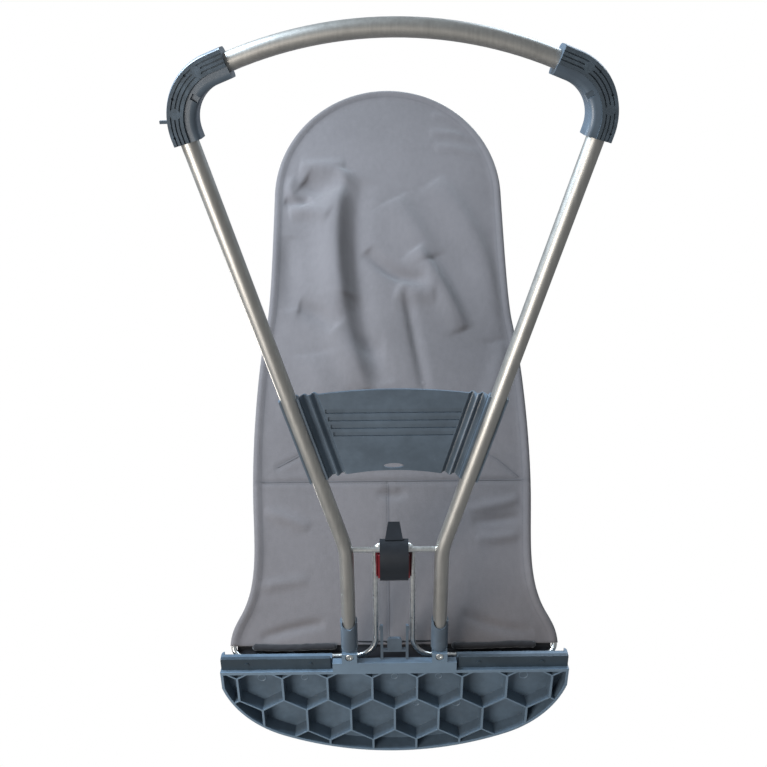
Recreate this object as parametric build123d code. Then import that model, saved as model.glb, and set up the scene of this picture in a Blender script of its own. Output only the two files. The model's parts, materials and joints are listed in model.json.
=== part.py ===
from build123d import *
import math
import os

# Folding wire-sprung baby bouncer seat.
# Units are millimetres. +Z is up, +Y runs from the foot plate to the head end, +X is the left side
# of a child lying in the seat. The origin is on the floor under the middle of the bounding box.

# ---------------------------------------------------------------- driving sizes
# overall base
base_depth = 790.5           # front of the foot plate to the back of the rear bar
plate_width = 390.0
plate_depth = 139.5
plate_height = 20.0
clear = 0.3                  # gap between pieces of different bodies
fit = 0.05                   # radial gap of a push fit or a running fit

# foot plate
plate_side = 36.0            # straight part of each side
plate_corner_x = 130.0       # where the corner arc meets the front arc
plate_corner_rise = 27.5     # how far behind the front edge that is
plate_wall = 3.0
plate_skin = 4.0
plate_edge_round = 4.0
cell_pitch = 50.6            # across one honeycomb cell, side to side
cell_side_wall = 33.0        # length of a cell's side wall
cell_point = 16.2            # height of a cell's pointed part
cell_gap = 2.4               # thickness of the honeycomb ribs
cell_row_offset = 39.0       # middle of the first row, in front of the rear edge
channel_back = 13.0          # depth of the wire channel, in front of the rear edge
channel_floor = 15.6
ledge_height = 8.0           # low wall in front of the bare wire in the middle
ledge_half = 70.0
lug_width = 9.0
lug_thickness = 2.2
lug_at = (84.0, 118.0, 152.0)   # from the middle of the plate
side_bulge = 0.132           # how far the corner arcs swell sideways and to the front
front_bulge = 0.098

# retainer strips under the channel
strip_thickness = 4.0
strip_width = 15.5
strip_overhang = 3.5
strip_end_gap = 1.5
strip_pin_radius = 2.4
strip_pin_inset = 24.0       # from the strip's inner end
strip_pin_from_side = 30.0   # from the plate's side

# floor frame tubes
tube_radius = 7.75
tube_wall = 1.5
tube_height = 12.0           # axis above the floor
tube_half_spacing = 50.0     # at the sockets
tube_bend_at = 147.0         # behind the plate's rear edge
tube_bend_radius = 90.0
tube_splay = 15.6            # degrees
bar_radius = 7.5
bar_bow_radius = 360.0
bar_half_span = 129.0        # where the bar enters its corner piece

# sockets on the foot plate
socket_radius = 9.4
socket_start = 13.5
socket_end = 52.0
socket_floor = 16.0
socket_foot_start = 2.0
socket_foot_top = 9.5
socket_tongue_length = 13.0
socket_tongue_thickness = 4.6
screw_radius = 1.9
screw_head_radius = 4.4
screw_head_height = 2.2
screw_behind_edge = 7.5
screw_inset = 0.3            # head above the plate's underside

# corner pieces
corner_width = 24.0
corner_height = 22.0
corner_round = 5.0
corner_bend_radius = 41.0
corner_front_arm = 43.0      # from the corner's vertex to the end that takes the side tube
corner_grip = 18.0           # how far a tube goes in
pad_height = 2.6
pad_width = 13.0
pad_outer_inset = 1.6
pad_recess = 0.6
pad_groove = 1.1
pad_groove_depth = 1.2
pad_grooves = 3
pad_land_radius = 4.2
pad_hole_radius = 1.1
pad_land_shares = (0.28, 0.72)      # how far round the corner they are
pad_hole_shares = (0.08, 0.4, 0.62)
notch_width = 5.0
notch_depth = 2.0
tag_share = 0.2               # how far round the corner the tag is, from the side tube
tag_length = 7.0
tag_width = 2.4
tag_height = 4.0

# brace between the tubes
brace_top_at = 333.0
brace_top_sag = 16.0         # how much lower the arched top edge is at the trim's sides
brace_bottom_at = 244.0
brace_bottom_drop = 36.0     # how much lower the bottom edge is at the trim's sides
brace_trim_beyond = 40.0     # the trim's sides, beyond the tubes
brace_stock = 160.0          # length of the untrimmed profile
brace_gap = 0.25             # round a tube
brace_slot_half = 10.0
brace_slot_rise = 3.0
brace_slot_above = 5.0       # the bottom edge
brace_sheet = 2.0
brace_rise = 2.0             # flat panel above the tubes' axes
brace_ridge = 5.0
brace_ridge_pitch = 9.5
brace_ridges = 2
brace_skirt = 3.0            # how far the outer edge comes down beside the tube
groove_count = 4
groove_pitch = 8.3
groove_width = 4.6
groove_first_at = 310.0
groove_depth = 1.3
groove_end_gap = 1.0

# crossbar that the catch holds
rod_radius = 3.0
crossbar_at = 145.3          # behind the plate's rear edge
crossbar_height = 14.0       # axis above the floor

# spring wire
wire_radius = 3.0
hinge_in_front = 8.5         # axis of the torsion wire, in front of the plate's rear edge
hinge_height = 20.0
seat_angle = 44.0            # degrees above the floor, in the highest position
seat_length = 763.0          # hinge to the top of the hoop's wire
seat_head_at = 598.0         # where the round head starts
seat_head_half = 151.0
seat_waist_at = 180.0
seat_waist_half = 164.0
seat_middle_at = 380.0
seat_middle_half = 159.0
seat_foot_half = 183.0
seat_foot_round = 12.0
seat_flare_at = 46.0
seat_flare_half = 171.5
hoop_end_half = 165.0        # where the hoop's end meets the torsion wire
bail_half = 20.5
bail_angle = 5.9             # degrees above the floor
bail_pass_gap = 3.6          # between the bail's end and the crossbar, as it swings past
bail_foot_round = 25.0
bail_top_round = 7.0

# catch
hook_width = 30.0
barrel_radius = 5.6
barrel_width = 22.0
barrel_gap = 8.0             # room for the spring between the two knuckles
hook_wall = 2.2
hook_front = -32.0           # the shell's front edge, bottom and back edge, from the pivot
hook_front_drop = -19.0
hook_back = 19.5
hook_back_drop = -19.5
hook_bottom = -33.6
hook_bottom_at = -4.0
tooth_reach = 3.4
tooth_height = 3.0
tooth_pitch = 7.0
tooth_clear = 0.45
teeth = 3
tab_length = 19.0
tab_root = 19.0
tab_tip = 12.0
tab_thickness = 3.4
tab_lean = 55.0              # degrees from upright, away from the hinge
spring_wire = 0.9
spring_turns = 5
block_near = 9.5            # from the bail's end to the block
block_length = 30.0
block_height = 13.0
block_half = 19.5
block_bulge = 4.0

# centre clip
clip_half = 14.0
clip_post = 3.0
clip_length = 49.0
clip_thickness = 3.0
clip_bar_at = 13.0
clip_tongue_half = 8.0
clip_tongue_end = 31.0
clip_barb = 1.6

# fabric
cloth = 3.0
cloth_side_gap = 0.6
cloth_start = 27.0
seam_at = 200.0
seam_gap = 0.4
rod_from_hinge = 10.0
hem_radius = 4.0
hem_inner_half = 64.0
hem_outer_half = 163.0
flap_start = 60.0
flap_end = 330.0
flap_foot_half = 62.0
flap_head_half = 118.0
flap_corner = 14.0
flap_thickness = 2.4
flap_gap = 0.8
button_radius = 7.5
button_height = 3.0
button_inset = 18.0
button_rows = 2
button_pitch = 40.0

# ---------------------------------------------------------------- places worked out from them
front_y = -base_depth / 2
edge_y = front_y + plate_depth                  # the foot plate's straight rear edge
hinge_y = edge_y - hinge_in_front
crossbar_y = edge_y + crossbar_at
bar_bow_y = base_depth / 2 - bar_radius - bar_bow_radius
crossbar_reach = math.hypot(crossbar_y - hinge_y, crossbar_height - hinge_height)
bail_length = crossbar_reach - rod_radius - wire_radius - bail_pass_gap

hinge_point = Vector(0, hinge_y, hinge_height)
seat_plane = Plane(hinge_point, x_dir=(1, 0, 0), z_dir=Vector(0, 0, 1).rotate(Axis.X, seat_angle))
bail_plane = Plane(hinge_point, x_dir=(1, 0, 0), z_dir=Vector(0, 0, 1).rotate(Axis.X, bail_angle))
tube_plane = Plane((0, 0, tube_height))
splay_dir = Vector(math.sin(math.radians(tube_splay)), math.cos(math.radians(tube_splay)))


def write(name, part):
    """Write one sub-part, whole, to its own file."""
    export_step(part, f"parts/{name}.step")


def mirrored(part):
    """The same piece for the -X side."""
    return mirror(part, about=Plane.YZ)


def rounded_path(points, radii):
    """A planar line through the points, with an arc of the given radius at each inner point."""
    pts = [Vector(*p) for p in points]
    edges = []
    start = pts[0]
    for before, corner, after, radius in zip(pts, pts[1:], pts[2:], radii):
        back = (before - corner).normalized()
        ahead = (after - corner).normalized()
        half = math.acos(back.dot(ahead)) / 2
        reach = radius / math.tan(half)
        middle = corner + (back + ahead).normalized() * (radius / math.sin(half) - radius)
        edges.append(Line(start, corner + back * reach))
        edges.append(ThreePointArc(corner + back * reach, middle, corner + ahead * reach))
        start = corner + ahead * reach
    edges.append(Line(start, pts[-1]))
    return Wire([e.edge() for e in edges])


def swept(path, section, across=0.0, up=0.0):
    """A section carried along a flat path: across is to the path's right, up is along +Z."""
    tangent = path % 0
    plane = Plane(path @ 0, x_dir=Vector(0, 0, 1).cross(tangent), z_dir=tangent)
    return sweep(plane * Pos(-across, up) * section, path=path)


def tube_line(distance):
    """A point on the left tube's splayed stretch, at this distance past the bend's vertex."""
    return Vector(tube_half_spacing, edge_y + tube_bend_at) + splay_dir * distance


def corner_points():
    """Where the side tube's axis enters the corner piece, the axes' crossing, and the bar's end."""
    angle = math.asin(bar_half_span / bar_bow_radius)
    end = Vector(bar_half_span, bar_bow_y + bar_bow_radius * math.cos(angle))
    along = Vector(math.cos(angle), -math.sin(angle))
    start = tube_line(0)
    gap = end - start
    cross = along.X * splay_dir.Y - along.Y * splay_dir.X
    distance = (along.X * gap.Y - along.Y * gap.X) / cross
    vertex = tube_line(distance)
    return tube_line(distance - corner_front_arm), vertex, end


def plate_outline(inset=0.0):
    """The D-shaped outline: straight rear edge and sides, arcs at the corners and the front."""
    half = plate_width / 2 - inset
    side_y = edge_y - plate_side
    corner_x = plate_corner_x - inset * 0.5
    corner_y = front_y + plate_corner_rise + inset * 0.9
    bulge_x = (half + corner_x) / 2 + (half - corner_x) * side_bulge
    bulge_y = (side_y + corner_y) / 2 - (side_y - corner_y) * front_bulge
    with BuildSketch() as outline:
        with BuildLine():
            Line((-half, edge_y - inset), (half, edge_y - inset))
            Line((half, edge_y - inset), (half, side_y))
            ThreePointArc((half, side_y), (bulge_x, bulge_y), (corner_x, corner_y))
            ThreePointArc((corner_x, corner_y), (0, front_y + inset), (-corner_x, corner_y))
            ThreePointArc((-corner_x, corner_y), (-bulge_x, bulge_y), (-half, side_y))
            Line((-half, side_y), (-half, edge_y - inset))
        make_face()
    return outline.sketch


def honeycomb():
    """The hollow cells, each a six-sided pocket, in rows shifted by half a cell."""
    half = (cell_pitch - cell_gap) / 2
    wall = cell_side_wall / 2
    tip = wall + cell_point - cell_gap / 2
    right = [(0, tip), (half, wall), (half, -wall), (0, -tip)]
    cell = make_face(Polyline(*right, (-half, -wall), (-half, wall), close=True))
    row_pitch = cell_side_wall + cell_point
    cells = []
    for row in range(-1, 3):
        shift = 0.5 if row % 2 else 0.0
        for column in range(-4, 5):
            x = (column + shift) * cell_pitch
            y = edge_y - cell_row_offset - row * row_pitch
            cells.append(Pos(x, y) * cell)
    return cells


def foot_plate():
    """D-shaped tray standing on its rim, ribbed with a honeycomb underneath."""
    body = extrude(plate_outline(), plate_height)
    top_edges = body.faces().sort_by(Axis.Z)[-1].edges()
    body = fillet(top_edges.filter_by(lambda e: e.center().Y < edge_y - 1), plate_edge_round)
    rear_strip = Pos(0, edge_y) * Rectangle(plate_width, 2 * channel_back + 2 * plate_wall)
    field = plate_outline(plate_wall) - rear_strip
    cells = [face for cell in honeycomb() for face in (cell & field).faces()]
    pockets = Sketch() + [face for face in cells if face.area > 4 * cell_gap ** 2]
    body -= extrude(pockets, plate_height - plate_skin)
    half = plate_width / 2
    channel_y = edge_y - channel_back
    body -= Pos(0, channel_y, channel_floor) * box_from(half - plate_wall, channel_back + 1, plate_height)
    body -= Pos(0, channel_y, ledge_height) * box_from(ledge_half, channel_back + 1, plate_height)
    for side in (1, -1):
        middle = side * (ledge_half + half) / 2
        length = (half - ledge_half) / 2 + 1
        body -= Pos(middle, channel_y + 1, -1) * box_from(length, channel_back, ledge_height + 1 + fit)
        arm_x = side * seat_foot_half
        arm_half = wire_radius + clear + 1
        body -= Pos(arm_x, channel_y, channel_floor) * box_from(arm_half, channel_back + 1, plate_height)
    for x in lug_places():
        body += Pos(x, 0) * lug()
    for side in (1, -1):
        root = Pos(side * tube_half_spacing, edge_y - 1, 0)
        screw = Pos(side * tube_half_spacing, edge_y + screw_behind_edge, -1)
        body += root * box_from(socket_radius - 1, socket_tongue_length + 1, socket_tongue_thickness)
        body -= screw * rod_up(screw_radius + fit, socket_tongue_thickness + 2)
        body -= screw * rod_up(screw_head_radius + clear, 1 + screw_inset + screw_head_height + fit)
    for side in (1, -1):
        for x in strip_pin_places():
            place = Pos(side * x, strip_middle_y(), ledge_height - 1)
            body -= place * rod_up(strip_pin_radius / 2 + fit, strip_thickness + 1)
    return body


def box_from(half_x, length_y, height):
    """A block centred on x = 0, from the origin towards +Y and +Z."""
    return Box(2 * half_x, length_y, height, align=(Align.CENTER, Align.MIN, Align.MIN))


def rod_up(radius, height):
    """An upright round bar from the origin."""
    return Cylinder(radius, height, align=(Align.CENTER, Align.CENTER, Align.MIN))


def lug_places():
    """Middles of the lugs that hold the torsion wire down."""
    return [side * x for side in (1, -1) for x in lug_at]


def lug():
    """A small snap lug that leans over the torsion wire from the plate's top."""
    under = hinge_height + wire_radius + clear
    post_y = edge_y - channel_back - plate_wall
    post = Pos(0, post_y, plate_height - 1) * box_from(lug_width / 2, plate_wall, under - plate_height + 1)
    reach = plate_wall + channel_back - hinge_in_front
    roof = Pos(0, post_y, under) * box_from(lug_width / 2, reach, lug_thickness)
    return post + roof


def strip_middle_y():
    """Middle of a retainer strip, front to back."""
    return edge_y + strip_overhang - strip_width / 2


def strip_pin_places():
    """Distances of a strip's two pins from the middle of the plate."""
    return (ledge_half + strip_pin_inset, plate_width / 2 - strip_pin_from_side)


def retainer_strip():
    """Flat strip under the wire channel, round at its inner end."""
    inner = ledge_half + strip_end_gap
    outer = plate_width / 2 - 1
    width = strip_width - strip_overhang - fit
    length = outer - inner
    middle = (inner + outer) / 2
    flat = Pos(middle, edge_y - width / 2) * RectangleRounded(length, width, 2)
    lip = Pos(middle, edge_y + strip_overhang / 2 - 1) * RectangleRounded(length, strip_overhang + 2, 2)
    strip = Pos(0, 0, ledge_height - strip_thickness) * extrude(flat + lip, strip_thickness)
    for x in strip_pin_places():
        strip -= Pos(x, strip_middle_y(), 0) * rod_up(strip_pin_radius / 2 + fit, plate_height)
    return strip


def strip_pin(x):
    """Drive pin with a low head, through a retainer strip into the plate."""
    underside = Pos(x, strip_middle_y(), ledge_height - strip_thickness)
    shank = underside * Pos(0, 0, -0.2) * rod_up(strip_pin_radius / 2, strip_thickness + 3)
    head = underside * Pos(0, 0, -1) * rod_up(strip_pin_radius, 1)
    return shank + head


def tube_path(start, stop):
    """The side tube's axis: straight at the socket, then bent outwards."""
    foot = Vector(tube_half_spacing, edge_y + start)
    return tube_plane * rounded_path([foot, tube_line(0), tube_line(stop)], [tube_bend_radius])


def side_tube():
    """Bent steel tube from a socket to a corner piece, with a hole for the crossbar."""
    enter = (corner_points()[0] - tube_line(0)).length
    path = tube_path(socket_floor, enter + corner_grip - 0.5)
    tube = swept(path, Circle(tube_radius)) - swept(path, Circle(tube_radius - tube_wall))
    hole = Rot(0, 90, 0) * Cylinder(rod_radius + fit, crossbar_end())
    return tube - Pos(crossbar_end() / 2, crossbar_y, crossbar_height) * hole


def crossbar_end():
    """Half the crossbar's length: its ends stop inside the tubes."""
    return tube_half_spacing + tube_radius - tube_wall - 5.0


def crossbar():
    """Round rod between the tubes."""
    return Pos(0, crossbar_y, crossbar_height) * Rot(0, 90, 0) * Cylinder(rod_radius, 2 * crossbar_end())


def bar_path(extra):
    """The rear bar's axis, an arc that goes a little way into both corner pieces."""
    half = math.degrees(math.asin(bar_half_span / bar_bow_radius) + extra / bar_bow_radius)
    arc = CenterArc((0, bar_bow_y), bar_bow_radius, 90 - half, 2 * half)
    return tube_plane * Wire([arc.edge()])


def rear_bar():
    """Bowed steel tube across the head end."""
    path = bar_path(corner_grip - 0.5)
    return swept(path, Circle(bar_radius)) - swept(path, Circle(bar_radius - tube_wall))


def tube_socket():
    """Socket that the tube is pushed into, with a scooped rim and a foot for its screw."""
    length = socket_end - socket_start
    edge = Pos(tube_half_spacing, edge_y)
    foot_low = socket_tongue_thickness + fit
    socket = Pos(0, socket_start, tube_height) * Rot(-90, 0, 0) * rod_up(socket_radius, length)
    bore = Pos(0, socket_floor, tube_height) * Rot(-90, 0, 0) * rod_up(tube_radius + fit, length)
    foot = Pos(0, socket_foot_start, foot_low) * box_from(
        socket_radius - 1, socket_start - socket_foot_start + 1, socket_foot_top - foot_low)
    scoop = Pos(0, socket_end) * rod_up(tube_radius - 2 * clear, tube_height - 2)
    screw = Pos(0, screw_behind_edge) * rod_up(screw_radius + fit, socket_foot_top + 1)
    return edge * (socket + foot - bore - scoop - screw)


def socket_screw():
    """Pan-head screw from below, with a star recess drawn as a round one with six lobes."""
    shank = Pos(0, 0, screw_head_height) * rod_up(screw_radius, socket_foot_top - screw_head_height - 0.5)
    head = rod_up(screw_head_radius, screw_head_height)
    head = fillet(head.edges().sort_by(Axis.Z)[0], 1.0)
    recess = rod_up(1.3, 1.2)
    for turn in range(6):
        recess += Rot(0, 0, 60 * turn) * Pos(1.3, 0) * rod_up(0.45, 1.2)
    return Pos(tube_half_spacing, edge_y + screw_behind_edge, screw_inset) * (shank + head - recess)


def corner_path():
    """Axis of the left corner piece."""
    start, vertex, end = corner_points()
    return tube_plane * rounded_path([start, vertex, end], [corner_bend_radius])


def corner_piece():
    """Moulded elbow that takes the side tube and the rear bar, flat underneath."""
    path = corner_path()
    middle = pad_height - pad_recess + corner_height / 2 - tube_height
    body = swept(path, RectangleRounded(corner_width, corner_height, corner_round), up=middle)
    enter = (corner_points()[0] - tube_line(0)).length
    body -= swept(tube_path(socket_floor, enter + corner_grip), Circle(tube_radius + fit))
    body -= swept(bar_path(corner_grip), Circle(bar_radius + fit))
    body -= pad_blank(fit, pad_recess)
    notch_line = corner_miter()
    low = pad_height - pad_recess
    band = notch_line * Pos(-corner_width / 2 + 3.5, 0, low - 1) * Box(
        7, notch_width, 1 + notch_depth, align=(Align.CENTER, Align.CENTER, Align.MIN))
    return body - band


def corner_miter():
    """Place on the corner's axis halfway round the bend, with +X pointing outwards."""
    path = corner_path()
    middle = path @ 0.5
    tangent = path % 0.5
    out = tangent.cross(Vector(0, 0, 1))
    return Plane((middle.X, middle.Y, 0), x_dir=out, z_dir=(0, 0, 1)).location


def pad_blank(gap, depth):
    """The non-slip pad's outline as a solid: the outer side of the corner's underside."""
    across = corner_width / 2 - pad_outer_inset - pad_width / 2
    section = Rectangle(pad_width + 2 * gap, pad_height)
    return swept(corner_path(), section, across=across, up=depth - pad_recess + pad_height / 2 - tube_height)


def corner_pad():
    """Ribbed non-slip pad that the head end stands on."""
    pad = pad_blank(0, pad_recess)
    across = corner_width / 2 - pad_outer_inset
    path = corner_path()
    for index in range(pad_grooves):
        place = across - pad_width * (index + 1) / (pad_grooves + 1)
        cut = swept(path, Rectangle(pad_groove, 2 * pad_groove_depth), across=place, up=-tube_height)
        pad -= cut
    lands = []
    for share in pad_land_shares:
        spot = path @ share
        out = (path % share).cross(Vector(0, 0, 1))
        middle = Vector(spot.X, spot.Y) + Vector(out.X, out.Y) * (across - pad_width / 2)
        lands.append(Pos(middle.X, middle.Y, 0) * rod_up(pad_land_radius, pad_height - 0.2))
    for land in lands:
        pad += land
    for share in pad_hole_shares:
        spot = path @ share
        out = (path % share).cross(Vector(0, 0, 1))
        middle = Vector(spot.X, spot.Y) + Vector(out.X, out.Y) * (across - pad_width / 4)
        pad -= Pos(middle.X, middle.Y, -1) * rod_up(pad_hole_radius, 1 + pad_height - pad_recess)
    return pad


def corner_tab():
    """Small flexible tag that sticks out of the left corner piece."""
    path = corner_path()
    spot = path @ tag_share
    out = (path % tag_share).cross(Vector(0, 0, 1))
    root = spot + out * (corner_width / 2 + fit)
    place = Plane(root, x_dir=out, z_dir=(0, 0, 1)).location
    return place * Box(tag_length, tag_width, tag_height, align=(Align.MIN, Align.CENTER, Align.CENTER))


def brace_side_profile():
    """Across a tube: an arch over it, its outer skirt, and ridges down to the flat panel."""
    inner = tube_radius + brace_gap
    outer = inner + brace_sheet
    low = brace_rise
    start = math.sqrt(outer ** 2 - low ** 2)
    steps = 10
    ridge = []
    for index in range(steps * brace_ridges + 1):
        swell = 1 - math.cos(2 * math.pi * index / steps)
        ridge.append((-start - brace_ridge_pitch * index / steps, low + brace_ridge / 2 * swell))
    under = [(x, z - brace_sheet) for x, z in ridge]
    sheet = make_face(Polyline(*ridge, *reversed(under), close=True))
    joint = Pos(-start, low - brace_sheet / 2) * Rectangle(2.4, brace_sheet)
    ring = Circle(outer) - Circle(inner)
    keep = Pos(0, outer - brace_skirt) * Rectangle(2 * outer + 1, 2 * outer)
    return (ring & keep) + (joint - Circle(inner)) + sheet


def brace():
    """Corrugated plate clipped over both tubes."""
    middle = ((brace_bottom_at + brace_top_at) / 2 - tube_bend_at) / splay_dir.Y
    start = tube_line(middle - brace_stock / 2)
    end = tube_line(middle + brace_stock / 2)
    plane = Plane((start.X, start.Y, tube_height), x_dir=(splay_dir.Y, -splay_dir.X, 0),
                  z_dir=(splay_dir.X, splay_dir.Y, 0))
    side = extrude(plane * mirror(brace_side_profile(), about=Plane.XZ), brace_stock)
    ridges_start = math.sqrt((tube_radius + brace_gap + brace_sheet) ** 2 - brace_rise ** 2)
    inside = (ridges_start + brace_ridges * brace_ridge_pitch - 0.5) / splay_dir.Y
    near = start.X - inside
    far = end.X - inside
    panel = make_face(Polyline((-near, start.Y), (near, start.Y), (far, end.Y), (-far, end.Y), close=True))
    low = tube_height + brace_rise - brace_sheet
    sheet = Pos(0, 0, low) * extrude(panel, brace_sheet)
    for index in range(groove_count):
        y = edge_y + groove_first_at - index * groove_pitch
        half = near + (y - start.Y) * math.tan(math.radians(tube_splay)) - groove_end_gap
        sheet -= Pos(0, y, low) * Box(2 * half, groove_width, 2 * groove_depth)
    whole = side + mirrored(side) + sheet
    whole &= extrude(brace_trim(tube_line(middle).X + brace_trim_beyond), 3 * tube_height)
    slot = Pos(0, edge_y + brace_bottom_at + brace_slot_above) * Ellipse(brace_slot_half, brace_slot_rise)
    return whole - extrude(slot, 3 * tube_height)


def brace_trim(half):
    """The brace's outline: arched at the top, hollow at the bottom, straight sides."""
    top = edge_y + brace_top_at
    bottom = edge_y + brace_bottom_at
    top_side = top - brace_top_sag
    bottom_side = bottom - brace_bottom_drop
    with BuildSketch() as trim:
        with BuildLine():
            ThreePointArc((-half, top_side), (0, top), (half, top_side))
            Line((half, top_side), (half, bottom_side))
            ThreePointArc((half, bottom_side), (0, bottom), (-half, bottom_side))
            Line((-half, bottom_side), (-half, top_side))
        make_face()
    return trim.sketch


def hoop_half_path():
    """Axis of the hoop's left half: bent foot, side arm and a quarter of the head's ellipse."""
    foot = Line((hoop_end_half, 0), (seat_foot_half - seat_foot_round, 0))
    turn = seat_foot_round * (1 - math.sqrt(0.5))
    bend = ThreePointArc(foot @ 1, (seat_foot_half - turn, turn), (seat_foot_half, seat_foot_round))
    flare = (seat_flare_half, seat_flare_at)
    waist = (seat_waist_half, seat_waist_at)
    middle = (seat_middle_half, seat_middle_at)
    shoulder = (seat_head_half, seat_head_at)
    side = Spline(bend @ 1, flare, waist, middle, shoulder, tangents=((0, 1), (0, 1)))
    head = EllipticalCenterArc((0, seat_head_at), seat_head_half, seat_length - seat_head_at, arc_size=90)
    return seat_plane * Wire([foot.edge(), bend.edge(), side.edge(), head.edge()])


def round_bar(path, radius):
    """A round bar along a half path that ends on the middle plane, with its other half."""
    half = sweep(Plane(path @ 0, z_dir=path % 0) * Circle(radius), path=path)
    return half + mirrored(half)


def seat_hoop():
    """Spring wire round the seat, from one bent foot over the head to the other."""
    return round_bar(hoop_half_path(), wire_radius)


def bail_half_path():
    """Axis of the torsion wire and half of the bail, in the bail's own plane."""
    points = [(hoop_end_half, 0), (bail_half, 0), (bail_half, bail_length), (0, bail_length)]
    return bail_plane * rounded_path(points, [bail_foot_round, bail_top_round])


def torsion_bail():
    """Spring wire that twists along the foot plate and runs back to the catch as a bail."""
    return round_bar(bail_half_path(), wire_radius)


def catch_place():
    """The catch's own frame: X along its pivot, Y away from the hinge, Z across the bail."""
    pivot = bail_plane.from_local_coords(Vector(0, bail_length, 0))
    return Plane(pivot, x_dir=(1, 0, 0), z_dir=bail_plane.z_dir)


def across_bail(profile, width):
    """A profile drawn with x away from the hinge and y across the bail, made width wide."""
    flat = Plane((width / 2, 0, 0), x_dir=(0, 1, 0), z_dir=(1, 0, 0))
    return extrude(flat * profile, -width)


def hook_shell_profile():
    """The hook's outer shell: an arc under the crossbar, open at the top."""
    front = Vector(hook_front, hook_front_drop)
    back = Vector(hook_back, hook_back_drop)
    outer = ThreePointArc(front, (hook_bottom_at, hook_bottom), back)
    middle = outer.arc_center
    ring = Pos(middle.X, middle.Y) * (Circle(outer.radius) - Circle(outer.radius - hook_wall))
    far_front = middle + (front - middle) * 3
    far_back = middle + (back - middle) * 3
    keep = Polyline(middle, far_front, (0, hook_bottom * 4), far_back, close=True)
    return ring & make_face(keep)


def tooth_line():
    """How far out the teeth may come, so that the crossbar passes them at rest."""
    return crossbar_reach - rod_radius - tooth_clear


def hook_spine_profile():
    """From the pivot down to the shell, with the teeth that rest on the crossbar."""
    def reach(drop):
        return math.sqrt(tooth_line() ** 2 - drop ** 2) - bail_length
    crossbar_drop = catch_place().to_local_coords(Vector(0, crossbar_y, crossbar_height)).Z
    lowest = crossbar_drop + rod_radius + tooth_clear
    front = -barrel_radius + 0.4
    points = [(front, 0)]
    points.append((front, hook_bottom + hook_wall / 2))
    points.append((reach(lowest) - tooth_reach, hook_bottom + hook_wall / 2))
    points.append((reach(lowest) - tooth_reach, lowest))
    for index in range(teeth):
        drop = lowest + index * tooth_pitch
        points.append((reach(drop), drop))
        points.append((reach(drop + tooth_height), drop + tooth_height))
        if index < teeth - 1:
            points.append((reach(drop + tooth_height) - tooth_reach, drop + tooth_height))
            points.append((reach(drop + tooth_pitch) - tooth_reach, drop + tooth_pitch))
    points.append((reach(lowest + teeth * tooth_pitch) - tooth_reach, 0))
    return make_face(Polyline(*points, close=True))


def catch_hook():
    """Hook that hangs from the bail's end and holds the crossbar; its tab is pushed to let go."""
    body = across_bail(hook_shell_profile(), hook_width)
    body += across_bail(hook_spine_profile(), barrel_width)
    body += across_bail(Circle(barrel_radius), barrel_width)
    for side in (1, -1):
        cheek = across_bail(hook_cheek_profile(), hook_wall)
        body += Pos(side * (hook_width - hook_wall) / 2, 0, 0) * cheek
    body -= across_bail(Circle(wire_radius + fit), barrel_width + 20)
    body -= across_bail(Circle(barrel_radius + 0.2), barrel_gap)
    body += tab()
    return catch_place().location * body


def hook_cheek_profile():
    """Side wall of the hook, in front of the crossbar and under the bail."""
    top = -barrel_radius - 2
    upper = [(hook_front + 4, hook_front_drop - 2), (-barrel_radius, top), (-1, top)]
    lower = [(-1, hook_bottom + 2), (hook_front + 12, hook_bottom + 6)]
    return make_face(Polyline(*upper, *lower, close=True))


def tab():
    """Tapered thumb tab on the hook's free edge, pointing up and back."""
    root_point = (0, hook_back - hook_wall / 2, hook_back_drop - hook_wall / 2)
    lean = Plane(root_point, x_dir=(1, 0, 0), z_dir=Vector(0, 0, 1).rotate(Axis.X, -tab_lean))
    root = lean * Rectangle(tab_root, tab_thickness)
    tip = lean.offset(tab_length) * Rectangle(tab_tip, tab_thickness * 0.7)
    return loft([root.face(), tip.face()])


def catch_spring():
    """Coil spring round the bail's end that holds the hook against the crossbar."""
    coil_radius = wire_radius + spring_wire / 2 + 0.35
    width = barrel_gap - spring_wire - 0.6
    helix = Helix(width / spring_turns, width, coil_radius)
    coil = sweep(Plane(helix @ 0, z_dir=helix % 0) * Circle(spring_wire / 2), path=helix)
    return catch_place().location * Rot(0, 90, 0) * Pos(0, 0, -width / 2) * coil


def catch_block():
    """Barrel-shaped block clipped across both bail wires, behind the hook."""
    near = -block_near
    far = near - block_length
    middle = (near + far) / 2
    with BuildSketch() as outline:
        with BuildLine():
            Line((-block_half, near), (block_half, near))
            ThreePointArc((block_half, near), (block_half + block_bulge, middle), (block_half, far))
            Line((block_half, far), (-block_half, far))
            ThreePointArc((-block_half, far), (-block_half - block_bulge, middle), (-block_half, near))
        make_face()
    saddle = extrude(outline.sketch, block_height / 2)
    saddle = fillet(saddle.edges().group_by(Axis.Z)[-1], 1.5)
    core_half = bail_half - wire_radius - fit
    core = Pos(0, far + 1, -block_height / 2 + 1.5) * box_from(core_half, block_length - 2, block_height / 2)
    body = saddle + core
    for side in (1, -1):
        wire = Pos(side * bail_half, near, 0) * Rot(90, 0, 0) * Cylinder(wire_radius + fit, 4 * block_length)
        body -= wire
    return catch_place().location * body


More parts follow.
